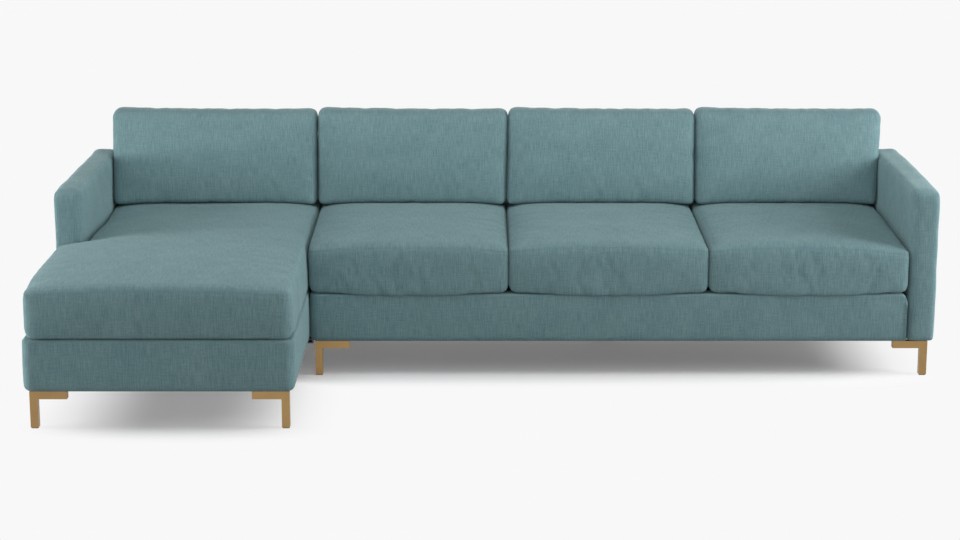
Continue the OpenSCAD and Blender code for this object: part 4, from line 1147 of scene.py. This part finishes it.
def finish(name):
    """The sofa's material of that name, made once."""
    if name in finishes:
        return finishes[name]
    colours = bpy.context.scene.sofa_colours
    makers = {
        "melange_weave": lambda: melange_weave(colours),
        "brass": lambda: satin_brass(colours),
        "beech": lambda: beech(colours),
        # Slabstock polyurethane foam: matt, open cells
        "foam": lambda: speckled("slabstock_foam", ("#d2c48f", colours.foam), 0.003, 0.95, bump_height=0.001),
        # Oil-tempered spring wire: dark, smooth
        "spring": lambda: speckled("oil_tempered_wire", ("#54575a", "#6d7073"), 0.008, 0.38, 1.0),
        # Phosphated steel plate: grey and matt
        "plate": lambda: speckled("phosphated_steel", ("#686b6e", "#7f8285"), 0.006, 0.6, 1.0),
        # Zinc-plated steel: bright, slightly mottled
        "zinc": lambda: speckled("zinc_plated_steel", ("#b4b7ba", "#c9cccd"), 0.006, 0.32, 1.0),
        # Cotton deck canvas: matt, its yarns drawn 3 mm apart, since real ones are too fine to show
        "deck": lambda: plain_cloth("deck_canvas", ("#2f3f44", colours.deck), 0.003),
        # Spunbond polypropylene cloth: dull, slightly mottled
        "dust": lambda: speckled("spunbond_cloth", (colours.dust, "#303336"), 0.004, 0.9, specular=0.2),
        # Elastic webbing of rubber and polypropylene yarn: matt, ribbed by its yarns
        "webbing": lambda: speckled("elastic_webbing", ("#3a352f", "#5d564c"), 0.005, 0.8),
        # Pressed wool felt: matt, fibrous
        "felt": lambda: speckled("pressed_felt", ("#6b665e", "#8b857b"), 0.002, 1.0, bump_height=0.0008),
        # Moulded polypropylene: black, finely grained
        "plastic": lambda: speckled("moulded_polypropylene", ("#181818", "#232323"), 0.002, 0.45),
    }
    finishes[name] = makers[name]()
    return finishes[name]


NODE_FINISHES = {
    "beech": (
        "front_rail", "back_rail", "end_rails", "cross_rails", "corner_blocks", "back_frame",
        "right_arm_frame", "chaise_front_rail", "chaise_back_rail", "chaise_side_rails",
        "chaise_cross_rails", "chaise_corner_blocks", "chaise_back_frame", "left_arm_frame",
    ),
    "spring": ("seat_springs", "chaise_springs"),
    "zinc": (
        "spring_clips", "chaise_spring_clips", "right_arm_bolts", "left_arm_bolts",
        "leg_screws", "chaise_leg_screws",
    ),
    "plate": ("connector_jaws", "connector_rods"),
    "webbing": ("back_webbing", "chaise_back_webbing"),
    "brass": ("legs", "chaise_legs"),
    "felt": ("leg_glides", "chaise_leg_glides"),
    "plastic": ("support_leg",),
}


class SOFA_OT_finishes(bpy.types.Operator):
    """Gives every CAD node that stays in view its finish"""

    bl_idname = "sofa.finishes"
    bl_label = "Finishes"

    def execute(self, context):
        for name, nodes in NODE_FINISHES.items():
            for node in nodes:
                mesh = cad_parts[node].data
                mesh.materials.clear()
                mesh.materials.append(finish(name))
        return {"FINISHED"}


# Studio


class SOFA_OT_studio(bpy.types.Operator):
    """Sets up the floor, the lights and the camera"""

    bl_idname = "sofa.studio"
    bl_label = "Studio"

    def execute(self, context):
        studio = context.scene.sofa_studio
        self.floor()
        self.room(context.scene, studio.room)
        for name, (place, size, target) in LIGHTS.items():
            self.light(name, place, size, target, getattr(studio, name))
        self.camera(context.scene, (CAMERA_X, -studio.camera_distance, studio.camera_height))
        context.scene.view_settings.view_transform = "Standard"
        return {"FINISHED"}

    @staticmethod
    def camera(scene, place):
        """The photo's camera, tilted down a little from level."""
        camera = bpy.data.cameras.new("camera")
        camera.sensor_width = 36
        camera.lens = CAMERA_LENS
        camera.shift_x, camera.shift_y = CAMERA_SHIFT
        camera.clip_end = 200
        view = bpy.data.objects.new("camera", camera)
        view.location = place
        view.rotation_euler = (CAMERA_TURN, 0, 0)
        scene.collection.objects.link(view)
        scene.camera = view

    @staticmethod
    def seen_directly(tree):
        """One for rays from the camera, off gloss and through glass, which show the background."""
        path = add(tree, "ShaderNodeLightPath")
        first = add(
            tree,
            "ShaderNodeMath",
            {0: path.outputs["Is Camera Ray"], 1: path.outputs["Is Glossy Ray"]},
            operation="MAXIMUM",
        ).outputs[0]
        return add(
            tree, "ShaderNodeMath", {0: first, 1: path.outputs["Is Transmission Ray"]}, operation="MAXIMUM"
        ).outputs[0]

    @staticmethod
    def away_from(tree, place, low, high):
        """Distance in plan from a box: the length of what is left of the way from its middle when half its
        size is taken off. Along x it counts a third, so that a fade is three times as wide there."""
        middle = [float(v) for v in (low + high)[:2] / 2] + [0.0]
        half = [float(v) for v in (high - low)[:2] / 2] + [0.0]
        vector = place
        for operation, other in (
            ("SUBTRACT", {1: middle}),
            ("ABSOLUTE", {}),
            ("SUBTRACT", {1: half}),
            ("MAXIMUM", {1: (0, 0, 0)}),
            ("MULTIPLY", {1: (1 / 3, 1, 1)}),
        ):
            vector = add(
                tree, "ShaderNodeVectorMath", {0: vector, **other}, operation=operation
            ).outputs["Vector"]
        return add(tree, "ShaderNodeVectorMath", {0: vector}, operation="LENGTH").outputs["Value"]

    def floor(self):
        """Pale floor. It gives less light back to the sofa than it shows, and near the sofa a painted glow
        lifts its shadow.
        Away from the sofa, and under its open ends, it turns to the background's even tone, which there is
        painted light."""
        reach = 60.0
        co = np.array([[-reach, -reach, 0], [reach, -reach, 0], [reach, reach, 0], [-reach, reach, 0]])
        mesh = skin_mesh("floor", co, np.array([[0, 1, 2, 3]]))
        material, tree, output = new_material("studio_floor")
        place = add(tree, "ShaderNodeTexCoord").outputs["Object"]
        # The two sections' footprints are drawn in at the open ends, so that there the shadow under them
        # fades to the
        # even tone: painted light, in place of light from the sides reaching under them. The three seats' one
        # reaches on under the chaise, so that no pale strip is left
        ways = []
        for covers, left_in, right_in in (
            (("left_arm_cover", "chaise_side_covers", "chaise_front_cover"), 0.40, 0.30),
            (("front_cover", "right_arm_cover", "back_cover"), -0.30, 0.40),
        ):
            boxes = np.array([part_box(node) for node in covers])
            low = boxes[:, 0].min(axis=0) + [left_in, 0, 0]
            high = boxes[:, 1].max(axis=0) - [right_in, 0, 0]
            ways.append(self.away_from(tree, place, low, high))
        away = add(tree, "ShaderNodeMath", {0: ways[0], 1: ways[1]}, operation="MINIMUM").outputs[0]
        fade = add(
            tree,
            "ShaderNodeMapRange",
            {"Value": away, "From Min": 0.0, "From Max": SHADOW_FADE},
            interpolation_type="SMOOTHSTEP",
        ).outputs["Result"]
        lit = add(tree, "ShaderNodeBsdfDiffuse", {"Color": linear("#fbfbfb")}).outputs[0]
        bounce = add(tree, "ShaderNodeBsdfDiffuse", {"Color": linear("#a8a8a8")}).outputs[0]
        even = add(tree, "ShaderNodeEmission", {"Color": linear(BACKGROUND), "Strength": 1.0}).outputs[0]
        # Painted light: where it is seen directly, the floor near the sofa glows a little, which keeps the
        # shadow under the sofa grey
        painted_glow = add(tree, "ShaderNodeEmission", {"Color": linear("#f4f2f5"), "Strength": 0.14}).outputs[0]
        near = add(tree, "ShaderNodeAddShader", {0: lit, 1: painted_glow}).outputs[0]
        shown = add(tree, "ShaderNodeMixShader", {0: fade, 1: near, 2: even}).outputs[0]
        both = add(tree, "ShaderNodeMixShader", {0: self.seen_directly(tree), 1: bounce, 2: shown}).outputs[0]
        tree.links.new(both, output.inputs["Surface"])
        floor = bpy.data.objects.new("floor", mesh)
        mesh.materials.append(material)
        bpy.context.scene.collection.objects.link(floor)

    def room(self, scene, strength):
        """Even light all round, and the background's tone where it is seen directly."""
        world = bpy.data.worlds.new("room")
        scene.world = world
        world.use_nodes = True
        tree = world.node_tree
        tree.nodes.clear()
        output = add(tree, "ShaderNodeOutputWorld")
        dim = add(tree, "ShaderNodeBackground", {"Color": (1, 1, 1, 1), "Strength": strength}).outputs[0]
        seen = add(tree, "ShaderNodeBackground", {"Color": linear(BACKGROUND), "Strength": 1.0}).outputs[0]
        both = add(tree, "ShaderNodeMixShader", {0: self.seen_directly(tree), 1: dim, 2: seen}).outputs[0]
        tree.links.new(both, output.inputs["Surface"])

    @staticmethod
    def light(name, place, size, target, power):
        """Soft box of the given size, turned towards a point and not seen itself."""
        lamp = bpy.data.lights.new(name, "AREA")
        lamp.shape = "RECTANGLE"
        lamp.size, lamp.size_y = size
        lamp.energy = power
        holder = bpy.data.objects.new(name, lamp)
        holder.location = place
        way = [t - p for t, p in zip(target, place)]
        flat = math.hypot(way[0], way[1])
        holder.rotation_euler = (math.atan2(flat, -way[2]), 0, math.atan2(-way[0], way[1]))
        holder.visible_camera = False
        bpy.context.scene.collection.objects.link(holder)


class SOFA_PT_panel(bpy.types.Panel):
    """Lists the sofa's steps and sizes"""

    bl_label = "Sectional sofa"
    bl_idname = "SOFA_PT_panel"
    bl_space_type = "VIEW_3D"
    bl_region_type = "UI"
    bl_category = "Sofa"

    def draw(self, context):
        for operator in OPERATORS:
            self.layout.operator(operator.bl_idname)
        for group in GROUPS:
            values = getattr(context.scene, group)
            for key in GROUPS[group].__annotations__:
                self.layout.prop(values, key)


OPERATORS = (
    SOFA_OT_studio,
    SOFA_OT_base,
    SOFA_OT_backs,
    SOFA_OT_arms,
    SOFA_OT_decks,
    SOFA_OT_dust_cloths,
    SOFA_OT_cores,
    SOFA_OT_seat_cushions,
    SOFA_OT_back_cushions,
    SOFA_OT_finishes,
)
GROUPS = {
    "sofa_cushions": CushionSizes,
    "sofa_fill": FillSizes,
    "sofa_colours": FinishColours,
    "sofa_studio": StudioSizes,
}


def register():
    for group, kind in GROUPS.items():
        bpy.utils.register_class(kind)
        setattr(bpy.types.Scene, group, PointerProperty(type=kind))
    for kind in OPERATORS + (SOFA_PT_panel,):
        bpy.utils.register_class(kind)


def unregister():
    for kind in (SOFA_PT_panel,) + OPERATORS[::-1]:
        bpy.utils.unregister_class(kind)
    for group, kind in GROUPS.items():
        delattr(bpy.types.Scene, group)
        bpy.utils.unregister_class(kind)


def main():
    register()
    for operator in OPERATORS:
        group, name = operator.bl_idname.split(".")
        getattr(getattr(bpy.ops, group), name)()
    bpy.context.view_layer.update()


if __name__ == "__main__":
    main()
